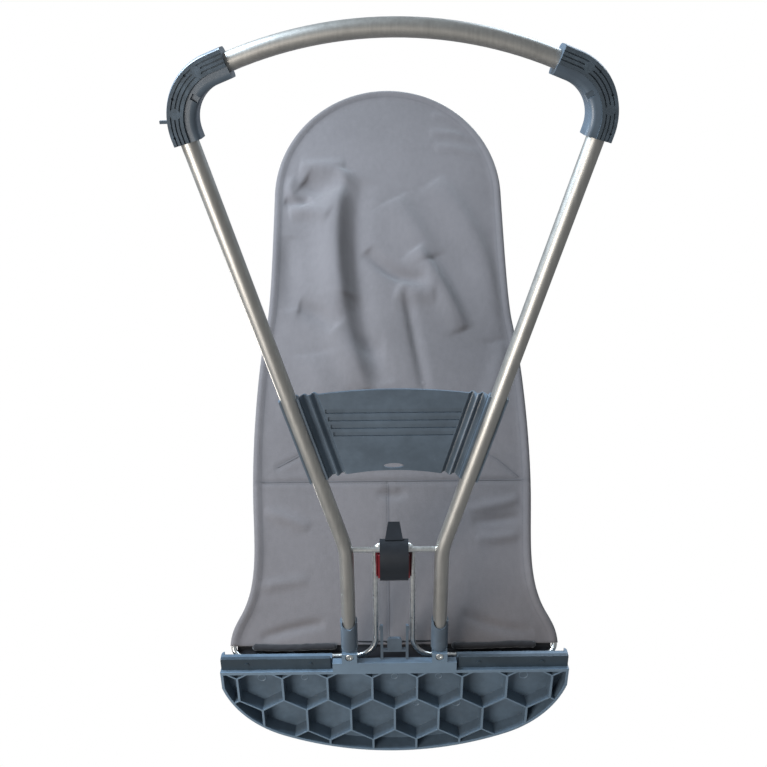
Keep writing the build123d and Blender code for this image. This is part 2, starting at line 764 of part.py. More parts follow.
def cover_clip():
    """H-shaped clip behind the foot plate, with barbed posts and a round-ended tongue."""
    thickness_z = ledge_height - clip_thickness
    post = Pos(clip_half, edge_y + clip_length / 2) * Rectangle(clip_post, clip_length)
    barb_y = edge_y + clip_length - 3
    outer = clip_half + clip_post / 2
    barb = make_face(Polyline((clip_half, barb_y - 3), (outer + clip_barb, barb_y - 3),
                              (outer, barb_y + 3), (clip_half, barb_y + 3), close=True))
    bar = Pos(0, edge_y + clip_bar_at) * Rectangle(2 * clip_half, clip_post)
    tongue_length = clip_tongue_end - clip_bar_at
    tongue = RectangleRounded(2 * clip_tongue_half, tongue_length, clip_tongue_half / 2)
    tongue = Pos(0, edge_y + clip_bar_at + tongue_length / 2) * tongue
    flat = post + barb + mirrored(post) + mirrored(barb) + bar + tongue
    return Pos(0, 0, thickness_z) * extrude(flat, clip_thickness)


def inside_hoop(sheet):
    """The part of a fabric sheet that lies inside the hoop's wire, with room for it."""
    room = round_bar(hoop_half_path(), wire_radius + cloth_side_gap)
    return (sheet - room).solids().sort_by(SortBy.VOLUME)[-1]


def fabric_outline():
    """The hoop's own outline, in the seat's plane."""
    path = seat_plane.location.inverse() * hoop_half_path()
    edges = path.edges() + mirrored(path).edges()
    edges.append(Line((hoop_end_half, 0), (-hoop_end_half, 0)).edge())
    return make_face(edges)


def fabric_panel(low, high, left_edge):
    """A flat piece of the cover, between two distances from the hinge and left of left_edge."""
    window = Rectangle(plate_width - left_edge, high - low)
    flat = fabric_outline() & Pos((left_edge + plate_width) / 2, (low + high) / 2) * window
    return inside_hoop(extrude(seat_plane * flat, cloth / 2, both=True))


def back_panel():
    """Upper part of the fabric cover, from the cross seam to the head."""
    return fabric_panel(seam_at + seam_gap / 2, seat_length, -plate_width)


def seat_panel():
    """Lower part of the fabric cover on the left of the centre seam."""
    return fabric_panel(cloth_start, seam_at - seam_gap / 2, seam_gap / 2)


def hem_rod():
    """Rolled hem with a stiffening rod, along the fabric's front edge."""
    length = hem_outer_half - hem_inner_half
    rod = fillet(Cylinder(hem_radius, length).edges().filter_by(GeomType.CIRCLE), 1.5)
    middle = (hem_outer_half + hem_inner_half) / 2
    return seat_plane.location * Pos(middle, rod_from_hinge, 0) * Rot(0, 90, 0) * rod


def restraint_flap():
    """Flap on the lying side that goes up between the legs and buttons to the cover."""
    low = cloth / 2 + flap_gap
    foot = [(-flap_foot_half, flap_start), (flap_foot_half, flap_start)]
    head = [(flap_head_half, flap_end), (-flap_head_half, flap_end)]
    body = Pos(0, 0, low) * extrude(make_face(Polyline(*foot, *head, close=True)), flap_thickness)
    body = fillet(body.edges().filter_by(Axis.Z), flap_corner)
    return seat_plane.location * body


def flap_button(side, row):
    """Press button at the flap's upper corner."""
    low = cloth / 2 + flap_gap + flap_thickness
    x = side * (flap_head_half - 1.3 * button_inset)
    s = flap_end - button_inset - row * button_pitch
    body = Pos(x, s, low) * rod_up(button_radius, button_height)
    body = fillet(body.edges().group_by(Axis.Z)[-1], 1.2)
    return seat_plane.location * body


def main():
    os.makedirs("parts", exist_ok=True)
    write("foot_plate", foot_plate())
    write("retainer_strip_left", retainer_strip())
    write("retainer_strip_right", mirrored(retainer_strip()))
    pins = [strip_pin(x) for x in strip_pin_places()]
    write("retainer_pins", Compound(pins + [mirrored(pin) for pin in pins]))
    write("side_tube_left", side_tube())
    write("side_tube_right", mirrored(side_tube()))
    write("crossbar", crossbar())
    write("rear_bar", rear_bar())
    write("tube_socket_left", tube_socket())
    write("tube_socket_right", mirrored(tube_socket()))
    write("socket_screws", Compound([socket_screw(), mirrored(socket_screw())]))
    write("corner_piece_left", corner_piece())
    write("corner_piece_right", mirrored(corner_piece()))
    write("corner_pad_left", corner_pad())
    write("corner_pad_right", mirrored(corner_pad()))
    write("corner_tag", corner_tab())
    write("tube_brace", brace())
    write("cover_clip", cover_clip())
    write("seat_hoop", seat_hoop())
    write("torsion_bail", torsion_bail())
    write("catch_hook", catch_hook())
    write("catch_spring", catch_spring())
    write("catch_block", catch_block())
    write("back_panel", back_panel())
    write("seat_panel_left", seat_panel())
    write("seat_panel_right", mirrored(seat_panel()))
    write("front_hem_left", hem_rod())
    write("front_hem_right", mirrored(hem_rod()))
    write("restraint_flap", restraint_flap())
    buttons = [flap_button(side, row) for side in (1, -1) for row in range(button_rows)]
    write("flap_buttons", Compound(buttons))


if __name__ == "__main__":
    main()
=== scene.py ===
import json
import math

import bmesh
import bpy
import numpy as np
from mathutils import Matrix, Vector


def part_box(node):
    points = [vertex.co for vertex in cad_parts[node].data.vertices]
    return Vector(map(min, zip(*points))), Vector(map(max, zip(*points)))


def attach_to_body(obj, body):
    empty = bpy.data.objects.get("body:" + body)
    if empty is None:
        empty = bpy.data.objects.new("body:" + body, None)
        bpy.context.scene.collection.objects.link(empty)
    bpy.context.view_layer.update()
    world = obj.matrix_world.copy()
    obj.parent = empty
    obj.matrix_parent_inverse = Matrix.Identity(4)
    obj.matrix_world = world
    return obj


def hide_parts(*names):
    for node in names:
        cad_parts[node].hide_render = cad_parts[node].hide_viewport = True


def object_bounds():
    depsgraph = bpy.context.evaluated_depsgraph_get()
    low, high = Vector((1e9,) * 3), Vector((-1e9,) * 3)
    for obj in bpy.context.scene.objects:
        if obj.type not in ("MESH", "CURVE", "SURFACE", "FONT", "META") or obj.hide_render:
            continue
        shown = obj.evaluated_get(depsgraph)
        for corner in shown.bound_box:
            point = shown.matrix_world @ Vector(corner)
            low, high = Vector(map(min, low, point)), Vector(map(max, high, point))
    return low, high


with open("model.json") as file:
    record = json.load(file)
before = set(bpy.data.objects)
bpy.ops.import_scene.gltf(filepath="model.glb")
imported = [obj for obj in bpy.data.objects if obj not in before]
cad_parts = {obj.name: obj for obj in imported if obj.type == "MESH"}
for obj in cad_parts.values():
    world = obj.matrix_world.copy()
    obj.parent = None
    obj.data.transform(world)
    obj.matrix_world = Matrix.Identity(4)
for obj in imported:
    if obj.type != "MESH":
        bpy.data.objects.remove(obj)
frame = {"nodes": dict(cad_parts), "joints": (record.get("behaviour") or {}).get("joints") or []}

bl_info = {
    "name": "Bouncer seat looks",
    "version": (1, 0, 0),
    "blender": (4, 5, 0),
    "location": "3D View > Sidebar > Bouncer",
    "description": "Fabric, stitching, moulding marks, finishes and stage for a folding bouncer seat",
    "category": "Add Mesh",
}

# Metres, in the shared frame: +Z is up, +Y runs from the foot plate to the head end and +X is the
# left side of a child lying in the seat. Seat coordinates are (x, s, n): x across, s from the
# hinge towards the head, n out of the seat towards the child.

MM = 0.001
cad_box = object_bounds()

# ------------------------------------------------------------------------------- frame readings


def node_points(name):
    """All the vertices of a CAD node, as an (N, 3) array."""
    mesh = frame["nodes"][name].data
    points = np.empty(len(mesh.vertices) * 3)
    mesh.vertices.foreach_get("co", points)
    return points.reshape(-1, 3)


def node_edges(name):
    """Both ends of every edge of a CAD node, as an (N, 2, 3) array."""
    mesh = frame["nodes"][name].data
    ends = np.empty(len(mesh.edges) * 2, dtype=np.int32)
    mesh.edges.foreach_get("vertices", ends)
    return node_points(name)[ends.reshape(-1, 2)]


class SeatPlane:
    """The seat's own directions, worked out from its hinge and from the wire hoop."""

    def __init__(self):
        hinge = next(joint for joint in frame["joints"] if joint["name"] == "seat_recline")
        self.origin = np.array(hinge["pos_m"])
        rise = (node_points("seat_hoop") - self.origin)[:, 1:]
        along = np.linalg.svd(rise, full_matrices=False)[2][0]
        along = along * np.sign(along[1])
        across = np.array((1.0, 0.0, 0.0))
        self.axes = np.array((across, (0.0, *along), np.cross(across, (0.0, *along))))

    def local(self, points):
        """Points of the shared frame in seat coordinates."""
        return (points - self.origin) @ self.axes.T

    def world(self, points):
        """Seat coordinates in the shared frame."""
        return points @ self.axes + self.origin


SEAT = SeatPlane()
HOOP_EDGES = SEAT.local(node_edges("seat_hoop"))
WIRE_RADIUS = np.abs(HOOP_EDGES[..., 2]).max()
SEAT_LENGTH = HOOP_EDGES[..., 1].max() - WIRE_RADIUS
HEAD_SHARE = 0.784      # the round head starts at this share of the seat's length


def farthest(edges, start, direction):
    """How far from start, along direction, a line last meets flat edges of shape (N, 2, 2)."""
    offset = edges - start
    side = offset[..., 0] * direction[1] - offset[..., 1] * direction[0]
    ahead = offset @ direction
    meets = side[:, 0] * side[:, 1] < 0
    share = side[meets, 0] / (side[meets, 0] - side[meets, 1])
    return (ahead[meets, 0] + share * (ahead[meets, 1] - ahead[meets, 0])).max()


def hoop_half_outline(levels, turns):
    """The left half of the hoop's centre line, as (x, s) points from foot to head.

    Along the arms each point is where the line of one level leaves the wire. Round the head it is
    where a ray from the head's centre leaves it, at equal turns up to the top. Both are then
    brought in from the wire's outer side by its radius.
    """
    edges = HOOP_EDGES[..., :2]
    centre = np.array((0.0, HEAD_SHARE * SEAT_LENGTH))
    sideways = np.array((1.0, 0.0))
    outer = [(farthest(edges, (0.0, level), sideways), level) for level in levels]
    for angle in np.linspace(0, math.pi / 2, turns + 1)[1:-1]:
        ray = np.array((math.cos(angle), math.sin(angle)))
        outer.append(centre + ray * farthest(edges, centre, ray))
    outer.append((0.0, SEAT_LENGTH + WIRE_RADIUS))
    outer = np.array(outer)
    along = np.gradient(outer, axis=0)
    along[-1] = (-1.0, 0.0)
    normal = unit(np.stack((along[:, 1], -along[:, 0]), axis=1))
    return outer - WIRE_RADIUS * normal, normal


# ------------------------------------------------------------------------------- surfaces


def unit(vectors):
    """The same directions, with length one."""
    return vectors / np.linalg.norm(vectors, axis=-1, keepdims=True)


def along_line(wanted, known, line):
    """Points at the wanted places of a line whose own points are at the known places."""
    return np.stack([np.interp(wanted, known, part) for part in np.transpose(line)], axis=1)


def grid_spots(first, second):
    """All pairs of one value from each list, as (N, 2)."""
    return np.stack(np.meshgrid(first, second, indexing="ij"), axis=-1).reshape(-1, 2)


def build_mesh(name, points, faces, uv=None):
    """A mesh object from arrays: points (N, 3), faces (M, 3 or 4) and one (N, 2) pair per point."""
    mesh = bpy.data.meshes.new(name)
    mesh.from_pydata(points.tolist(), [], faces.tolist())
    if uv is not None:
        corners = np.empty(len(mesh.loops), dtype=np.int32)
        mesh.loops.foreach_get("vertex_index", corners)
        layer = mesh.uv_layers.new(name="Cloth")
        layer.data.foreach_set("uv", uv[corners].ravel())
    mesh.shade_smooth()
    made = bpy.data.objects.new(name, mesh)
    bpy.context.scene.collection.objects.link(made)
    return made


def grid_faces(rows, columns):
    """Quads between neighbouring points of a rows by columns grid whose columns go round."""
    index = np.arange(rows * columns).reshape(rows, columns)
    index = np.hstack((index, index[:, :1]))
    corners = (index[:-1, :-1], index[1:, :-1], index[1:, 1:], index[:-1, 1:])
    return np.stack([corner.ravel() for corner in corners], axis=1)


def attach(made, material, body):
    """Gives a piece its material and the body that it moves with."""
    made.data.materials.append(material)
    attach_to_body(made, body)


def tidy_mesh(made, distance=2e-6):
    """Joins the points that lie together, drops empty faces and turns every face outwards."""
    work = bmesh.new()
    work.from_mesh(made.data)
    bmesh.ops.remove_doubles(work, verts=work.verts, dist=distance)
    bmesh.ops.dissolve_degenerate(work, edges=work.edges, dist=distance)
    bmesh.ops.recalc_face_normals(work, faces=work.faces)
    work.to_mesh(made.data)
    work.free()
    made.data.shade_smooth()
    return made


def copies(points, faces, frames):
    """One shape repeated: frames (K, 4, 3) hold a place and three directions for each copy."""
    placed = frames[:, :1] + np.einsum("pj,kjc->kpc", points, frames[:, 1:])
    shift = np.arange(len(frames))[:, None, None] * len(points)
    return placed.reshape(-1, 3), (faces[None] + shift).reshape(-1, faces.shape[1])


def upright(place, radius, height):
    """A frame for copies: a place, two level directions scaled by radius and one by height."""
    return (place, (radius, 0, 0), (0, radius, 0), (0, 0, height))


def turned_shape(profile, sides):
    """A profile of (radius, height) pairs turned round the third axis, closed at both poles."""
    angle = np.arange(sides) * 2 * math.pi / sides
    radius, height = np.array(profile).T
    ring = np.stack((np.cos(angle), np.sin(angle)), axis=1)
    points = np.concatenate((radius[:, None, None] * ring, np.broadcast_to(
        height[:, None, None], (len(radius), sides, 1))), axis=2)
    return points.reshape(-1, 3), grid_faces(len(radius), sides)


def tube_along(path, radii, sides=16):
    """Points and faces of a round tube: a circle carried along a path, closed at both ends.

    At each path point the circle stands square to the path, with that point's radius; the radius
    may also vary round the circle, as (points, sides).
    """
    ahead = unit(np.gradient(path, axis=0))
    side = unit(np.cross(ahead, SEAT.axes[2]))
    lift = np.cross(side, ahead)
    angle = np.arange(sides) * 2 * math.pi / sides
    radii = np.broadcast_to(np.reshape(radii, (len(path), -1)), (len(path), sides))[..., None]
    turn = angle[None, :, None]
    around = np.cos(turn) * side[:, None] + np.sin(turn) * lift[:, None]
    points = path[:, None] + radii * around
    return points.reshape(-1, 3), grid_faces(len(path), sides)


# ------------------------------------------------------------------------------- shaders


class Value:
    """A shader socket that takes part in plain arithmetic; each sign adds one Math node."""

    def __init__(self, paint, socket):
        self.paint = paint
        self.socket = socket

    def math(self, operation, *inputs):
        made = self.paint.node("ShaderNodeMath", {"operation": operation}, dict(enumerate(inputs)))
        return Value(self.paint, made.outputs[0])

    def __add__(self, other):
        return self.math("ADD", self, other)

    def __sub__(self, other):
        return self.math("SUBTRACT", self, other)

    def __rsub__(self, other):
        return self.math("SUBTRACT", other, self)

    def __mul__(self, other):
        return self.math("MULTIPLY", self, other)

    __radd__ = __add__
    __rmul__ = __mul__

    def sine(self):
        return self.math("SINE", self)

    def size(self):
        return self.math("ABSOLUTE", self)

    def step(self, low, high):
        """0 below low, 1 above high and a smooth rise between them."""
        made = self.paint.node("ShaderNodeMapRange", {"interpolation_type": "SMOOTHSTEP"},
                               {"Value": self, "From Min": low, "From Max": high})
        return Value(self.paint, made.outputs["Result"])


class Paint:
    """One material's node tree."""

    def __init__(self, name):
        self.material = bpy.data.materials.new(name)
        self.material.use_nodes = True
        self.tree = self.material.node_tree
        self.tree.nodes.clear()

    def node(self, kind, settings=None, inputs=None):
        """Any node: its settings by name, its inputs by name or number."""
        made = self.tree.nodes.new(kind)
        for name, value in (settings or {}).items():
            setattr(made, name, value)
        for key, value in (inputs or {}).items():
            if isinstance(value, Value):
                self.tree.links.new(value.socket, made.inputs[key])
            else:
                made.inputs[key].default_value = value
        return made

    def place(self):
        """Object coordinates."""
        return Value(self, self.node("ShaderNodeTexCoord").outputs["Object"])

    def cloth(self):
        """The cloth's own flat coordinates, in metres, split into across and along."""
        flat = self.node("ShaderNodeUVMap", {"uv_map": "Cloth"})
        split = self.node("ShaderNodeSeparateXYZ", {}, {0: Value(self, flat.outputs[0])})
        return Value(self, split.outputs[0]), Value(self, split.outputs[1])

    def noise(self, scale, detail=2.0, roughness=0.5, where=None):
        """Cloudy variation between 0 and 1, with scale clouds in a metre."""
        made = self.node("ShaderNodeTexNoise", {}, {
            "Vector": where or self.place(), "Scale": scale, "Detail": detail, "Roughness": roughness})
        return Value(self, made.outputs["Fac"])

    def mix(self, share, first, second):
        """A colour between two colours."""
        made = self.node("ShaderNodeMix", {"data_type": "RGBA"}, {0: share, 6: first, 7: second})
        return Value(self, made.outputs[2])

    def attribute(self, name):
        """A value stored on the mesh's points."""
        return Value(self, self.node("ShaderNodeAttribute", {"attribute_name": name}).outputs["Fac"])

    def stretched(self, across, along):
        """Object coordinates stretched differently across and along, for brushed or drawn grain."""
        made = self.node("ShaderNodeVectorMath", {"operation": "MULTIPLY"}, {
            0: self.place(), 1: (across, along, across)})
        return Value(self, made.outputs[0])

    def finish(self, colour, roughness, height=None, depth=0.0002, **constants):
        """The surface shader: colour and roughness may vary, the rest are constants."""
        inputs = {"Base Color": colour, "Roughness": roughness}
        if height is not None:
            bump = self.node("ShaderNodeBump", {}, {"Height": height, "Distance": depth,
                                                    "Strength": 1.0})
            inputs["Normal"] = Value(self, bump.outputs[0])
        inputs.update({name.replace("_", " "): value for name, value in constants.items()})
        shader = self.node("ShaderNodeBsdfPrincipled", {}, inputs)
        output = self.node("ShaderNodeOutputMaterial")
        self.tree.links.new(shader.outputs[0], output.inputs[0])
        return self.material


def shade(colour, factor):
    """The same colour, lighter or darker, with its alpha."""
    return (*[min(1.0, part * factor) for part in colour[:3]], 1.0)


def woven_cloth(name, colour, thread, pitch):
    """Plain-woven cotton: crossing threads, soft mottling, and painted shade in the thread's colour
    along seams, ribs and stitched grooves.
    """
    paint = Paint(name)
    across, along = paint.cloth()
    warp = (across * (2 * math.pi / pitch)).sine()
    weft = (along * (2 * math.pi / pitch)).sine()
    weave = (warp * weft).size()
    mottle = paint.noise(900.0, 3.0)
    slub = paint.noise(160.0, 2.0, where=paint.stretched(1.0, 0.12))
    clouds = paint.noise(9.0, 2.0)
    seam = paint.attribute("seam")
    tone = mottle * 0.30 + slub * 0.25 + clouds * 0.45
    body = paint.mix(tone.step(0.25, 0.75), shade(colour, 0.86), shade(colour, 1.13))
    # painted shade: the thread's colour laid over the cloth where the stored seam value is high, in
    # seam grooves and pinched ribs
    seam_shaded = paint.mix(seam, body, thread)
    height = weave * 0.25 + mottle * 0.55 + slub * 0.35
    return paint.finish(seam_shaded, 0.82 + mottle * 0.12, height, 0.00035, Sheen_Weight=0.35,
                        Sheen_Roughness=0.45, Specular_IOR_Level=0.25)


def moulded_tone(paint, colour, darkest, lightest):
    """What mouldings share: their fine grain, the marks of handling, and slow changes of tone."""
    grains = paint.noise(2600.0, 2.0)
    flow = paint.noise(26.0, 3.0)
    rub = paint.noise(140.0, 4.0, 0.65)
    tone = flow * 0.7 + rub * 0.3
    body = paint.mix(tone.step(0.3, 0.72), shade(colour, darkest), shade(colour, lightest))
    return grains, rub, body


def moulded_plastic(name, colour, roughness=0.38, grain=0.00005, coat=0.0):
    """Spark-eroded moulded plastic: fine grain, slow tone change and light handling wear."""
    paint = Paint(name)
    grains, rub, body = moulded_tone(paint, colour, 0.82, 1.2)
    worn = paint.mix(rub.step(0.66, 0.82) * 0.35, body, shade(colour, 1.9))
    rough = roughness + rub * 0.14 - 0.07
    return paint.finish(worn, rough, grains, grain, Coat_Weight=coat, Specular_IOR_Level=0.5)


def ribbed_plate(name, colour, cell_floor):
    """Moulded plastic with painted shade on the rib walls below the cells' floors, and pale worn rib
    edges.
    """
    paint = Paint(name)
    grains, rub, body = moulded_tone(paint, colour, 0.80, 1.25)
    split = paint.node("ShaderNodeSeparateXYZ", {}, {0: paint.place()})
    height = Value(paint, split.outputs[2])
    # painted shade: the ribs' walls and the plate's outer walls below the cells' floors are darkened
    # for the shade between the ribs
    deep = height.step(cell_floor - 1.2 * MM, cell_floor - 0.2 * MM)
    edge = 1 - height.step(0.3 * MM, 0.9 * MM)
    shaded_walls = paint.mix(deep, shade(colour, 0.22), body)
    worn = paint.mix(edge * 0.45, shaded_walls, shade(colour, 2.2))
    rough = 0.33 + rub * 0.14
    return paint.finish(worn, rough, grains, 0.00005, Coat_Weight=0.1, Specular_IOR_Level=0.4)


def painted_tube(name, colour):
    """Satin metallic paint on drawn tube: fine flake, faint draw lines and small scuffs."""
    paint = Paint(name)
    flake = paint.noise(3800.0, 1.0)
    drawn = paint.noise(420.0, 2.0, where=paint.stretched(1.0, 0.05))
    scuff = paint.noise(60.0, 4.0, 0.7)
    tone = flake * 0.45 + drawn * 0.35 + scuff * 0.2
    body = paint.mix(tone.step(0.3, 0.7), shade(colour, 0.86), shade(colour, 1.14))
    rough = 0.34 + scuff * 0.16 + drawn * 0.05
    return paint.finish(body, rough, drawn * 0.6 + flake * 0.4, 0.00003, Metallic=0.9,
                        Coat_Weight=0.25, Coat_Roughness=0.2)


def plated_wire(name, colour):
    """Bright zinc plate: smooth, with slow cloudy changes in tone and a few duller spots."""
    paint = Paint(name)
    cloud = paint.noise(190.0, 4.0, 0.6)
    spot = paint.noise(1100.0, 2.0)
    body = paint.mix(cloud.step(0.35, 0.7), shade(colour, 0.86), shade(colour, 1.06))
    rough = 0.24 + cloud * 0.10 + spot.step(0.62, 0.75) * 0.06
    return paint.finish(body, rough, cloud, 0.000004, Metallic=1.0)


def ribbed_rubber(name, colour):
    """Matt rubber with dust in its fine grain."""
    paint = Paint(name)
    grain = paint.noise(2200.0, 3.0)
    dust = paint.noise(70.0, 4.0, 0.6)
    body = paint.mix(dust.step(0.45, 0.8) * 0.5, colour, shade(colour, 2.4))
    return paint.finish(body, 0.62 + dust * 0.2, grain, 0.00008, Specular_IOR_Level=0.35)


# ------------------------------------------------------------------------------- settings


def colour_setting(name, description, default):
    """A colour property, in linear light."""
    return bpy.props.FloatVectorProperty(name=name, description=description, default=(*default, 1.0),
                                         size=4, min=0.0, max=1.0, subtype="COLOR")


def length_setting(name, description, default):
    """A length property in metres."""
    return bpy.props.FloatProperty(name=name, description=description, default=default, min=0.0,
                                   unit="LENGTH", subtype="DISTANCE")


def power_setting(name, description, default):
    """The power of a light, in watts."""
    return bpy.props.FloatProperty(name=name, description=description, default=default, min=0.0,
                                   subtype="POWER")


class FabricSettings(bpy.types.PropertyGroup):
    """Sizes and colours of the fabric cover."""

    colour: colour_setting("Cloth", "Colour of the woven cover", (0.118, 0.110, 0.114))
    thread: colour_setting("Thread", "Colour of seams and their shade", (0.070, 0.068, 0.074))
    hem: colour_setting("Hem", "Colour of the rolled hems and lining", (0.018, 0.018, 0.021))
    pitch: length_setting("Weave pitch", "Distance between two threads", 0.0009)
    half_thickness: length_setting("Half thickness", "Half of the two layers' thickness", 0.0009)
    start: length_setting("Start", "Where the cover starts, from the hinge", 0.0125)
    seam_at: length_setting("Cross seam", "Distance of the cross seam from the hinge", 0.200)
    fold_depth: bpy.props.FloatProperty(name="Fold depth", description="Scale of the drawn folds",
                                        default=1.9, min=0.0, max=3.0)


class PlasticSettings(bpy.types.PropertyGroup):
    """Colours of the moulded pieces."""

    plate: colour_setting("Foot plate", "Foot plate", (0.090, 0.130, 0.174))
    strip: colour_setting("Strips", "Retainer strips", (0.028, 0.044, 0.060))
    fitting: colour_setting("Fittings", "Sockets, corners, brace and clip", (0.076, 0.104, 0.136))
    rubber: colour_setting("Pads", "Non-slip pads and tag", (0.046, 0.063, 0.080))
    hook: colour_setting("Catch hook", "Near-black catch", (0.006, 0.009, 0.014))
    block: colour_setting("Catch block", "Red block on the bail", (0.130, 0.004, 0.010))
    button: colour_setting("Buttons", "Press buttons on the flap", (0.160, 0.160, 0.175))


class MetalSettings(bpy.types.PropertyGroup):
    """Colours of the tubes and wires."""

    tube: colour_setting("Tubes", "Satin metallic paint", (0.400, 0.395, 0.375))
    zinc: colour_setting("Zinc", "Zinc plate on wires and screws", (0.780, 0.800, 0.790))


class StageSettings(bpy.types.PropertyGroup):
    """Floor, lights and camera."""

    floor: colour_setting("Floor", "Pale floor", (0.80, 0.80, 0.80))
    floor_size: length_setting("Floor size", "Side of the square floor", 8.0)
    cool: colour_setting("Cool light", "Colour of the main light", (0.74, 0.87, 1.0))
    warm: colour_setting("Warm light", "Colour of the fill light", (1.0, 0.93, 0.86))
    main_power: power_setting("Main light", "Power of the main light", 31.0)
    fill_power: power_setting("Fill light", "Power of the fill light", 16.0)
    upper_power: power_setting("Upper lights", "Power of each light above", 26.0)
    ambient: bpy.props.FloatProperty(name="Ambient", description="Strength of the even light",
                                     default=0.28, min=0.0, max=4.0)
    lens: bpy.props.FloatProperty(name="Lens", description="Focal length on a 36 mm sensor",
                                  default=37.08, min=1.0, subtype="DISTANCE_CAMERA")


# ------------------------------------------------------------------------------- fabric shape

# Each fold: start, middle and end as (share of the half width, share of the length), its width on
# its left and right side, and its height towards the floor side. Widths and heights in millimetres.
FOLDS = [
    ((0.37, 0.835), (0.43, 0.640), (0.20, 0.410), 24.0, 12.0, 8.6),
    ((0.20, 0.815), (0.26, 0.640), (0.06, 0.425), 11.0, 18.0, -3.6),
    ((0.76, 0.842), (0.58, 0.842), (0.37, 0.845), 12.0, 10.0, 3.0),
    ((0.73, 0.812), (0.55, 0.800), (0.39, 0.818), 17.0, 17.0, -5.0),
    ((0.88, 0.772), (0.76, 0.768), (0.66, 0.776), 7.0, 8.0, -3.5),
    ((0.84, 0.748), (0.68, 0.748), (0.50, 0.735), 10.0, 14.0, 3.5),
    ((0.80, 0.820), (0.84, 0.790), (0.74, 0.765), 7.0, 7.0, 2.2),
    ((0.74, 0.565), (0.58, 0.552), (0.43, 0.524), 12.0, 12.0, -3.5),
    ((0.86, 0.700), (0.84, 0.640), (0.80, 0.560), 16.0, 16.0, -2.2),
    ((0.34, 0.585), (0.28, 0.510), (0.04, 0.487), 14.0, 15.0, -3.5),
    ((0.18, 0.675), (-0.05, 0.628), (-0.32, 0.616), 9.0, 9.0, -5.0),
    ((-0.06, 0.598), (-0.20, 0.590), (-0.38, 0.585), 13.0, 15.0, 3.2),
    ((-0.22, 0.672), (-0.40, 0.612), (-0.60, 0.520), 17.0, 9.0, 6.0),
    ((-0.13, 0.600), (-0.19, 0.520), (-0.28, 0.405), 6.0, 7.0, -3.2),
    ((-0.06, 0.775), (-0.22, 0.712), (-0.36, 0.655), 26.0, 15.0, 3.2),
    ((-0.40, 0.810), (-0.74, 0.680), (-0.90, 0.500), 24.0, 14.0, 3.8),
    ((-0.90, 0.500), (-0.84, 0.430), (-0.70, 0.380), 12.0, 12.0, 2.4),
    ((0.60, 0.480), (0.52, 0.420), (0.36, 0.390), 22.0, 22.0, 2.6),
    ((-0.40, 0.950), (-0.56, 0.945), (-0.74, 0.918), 6.0, 6.0, 1.3),
    ((-0.38, 0.912), (-0.58, 0.908), (-0.80, 0.894), 6.0, 6.0, 1.3),
    ((-0.42, 0.880), (-0.62, 0.876), (-0.86, 0.858), 7.0, 7.0, 1.2),
    ((0.10, 0.246), (0.00, 0.240), (-0.10, 0.246), 6.0, 6.0, -1.6),
    ((0.96, 0.215), (0.80, 0.205), (0.62, 0.190), 7.0, 7.0, 1.6),
    ((-0.96, 0.232), (-0.80, 0.224), (-0.55, 0.214), 6.0, 6.0, 1.5),
    ((-0.98, 0.205), (-0.82, 0.200), (-0.60, 0.196), 5.0, 5.0, -1.4),
    ((-0.98, 0.180), (-0.80, 0.172), (-0.62, 0.172), 6.0, 6.0, 1.4),
    ((1.04, 0.100), (0.86, 0.104), (0.62, 0.112), 6.0, 6.0, 1.3),
    ((0.50, 0.046), (0.70, 0.040), (0.95, 0.026), 5.0, 5.0, -2.0),
    ((-0.50, 0.060), (-0.74, 0.040), (-1.00, 0.034), 6.0, 5.0, -1.6),
]
FOLD_HALF_WIDTH = 0.160     # the half width that the folds' shares refer to


def bent_line(start, middle, end, count=14):
    """Points of a smooth curve that starts, passes near the middle and ends: a quadratic bend."""
    share = np.linspace(0, 1, count)[:, None]
    pull = 2 * np.array(middle) - (np.array(start) + np.array(end)) / 2
    return (1 - share) ** 2 * start + 2 * share * (1 - share) * pull + share ** 2 * np.array(end)


def along_and_aside(points, line):
    """For each (x, s) point: its share along a line and its signed distance from it."""
    nearest = np.full(len(points), np.inf)
    signed = np.zeros(len(points))
    share = np.zeros(len(points))
    for index, (first, second) in enumerate(zip(line[:-1], line[1:])):
        step = second - first
        offset = points - first
        run = np.clip(offset @ step / (step @ step), 0, 1)
        gap = offset - run[:, None] * step
        distance = np.linalg.norm(gap, axis=1)
        closer = distance < nearest
        side = np.sign(step[0] * offset[:, 1] - step[1] * offset[:, 0])
        nearest = np.where(closer, distance, nearest)
        signed = np.where(closer, distance * side, signed)
        share = np.where(closer, (index + run) / (len(line) - 1), share)
    return share, signed


def fold_height(points, fold):
    """One fold: a bell across its line, with its own width on each side, that fades at its ends."""
    start, middle, end, left, right, height = fold
    scale = np.array((FOLD_HALF_WIDTH, SEAT_LENGTH))
    line = bent_line(np.array(start) * scale, np.array(middle) * scale, np.array(end) * scale)
    share, aside = along_and_aside(points, line)
    width = np.where(aside > 0, left, right) * MM
    fade = np.clip(4 * share * (1 - share), 0, 1) ** 0.45
    return height * MM * fade * np.exp(-(aside / width) ** 2)


def ripple(points, seed, count, longest, shortest):
    """Gentle unevenness: a sum of sine waves in random directions, between -1 and 1."""
    random = np.random.default_rng(seed)
    total = np.zeros(len(points))
    for _ in range(count):
        turn = random.uniform(0, 2 * math.pi)
        direction = np.array((math.cos(turn), math.sin(turn)))
        wave = direction * 2 * math.pi / random.uniform(shortest, longest)
        total += np.sin(points @ wave + random.uniform(0, 2 * math.pi))
    return total / count


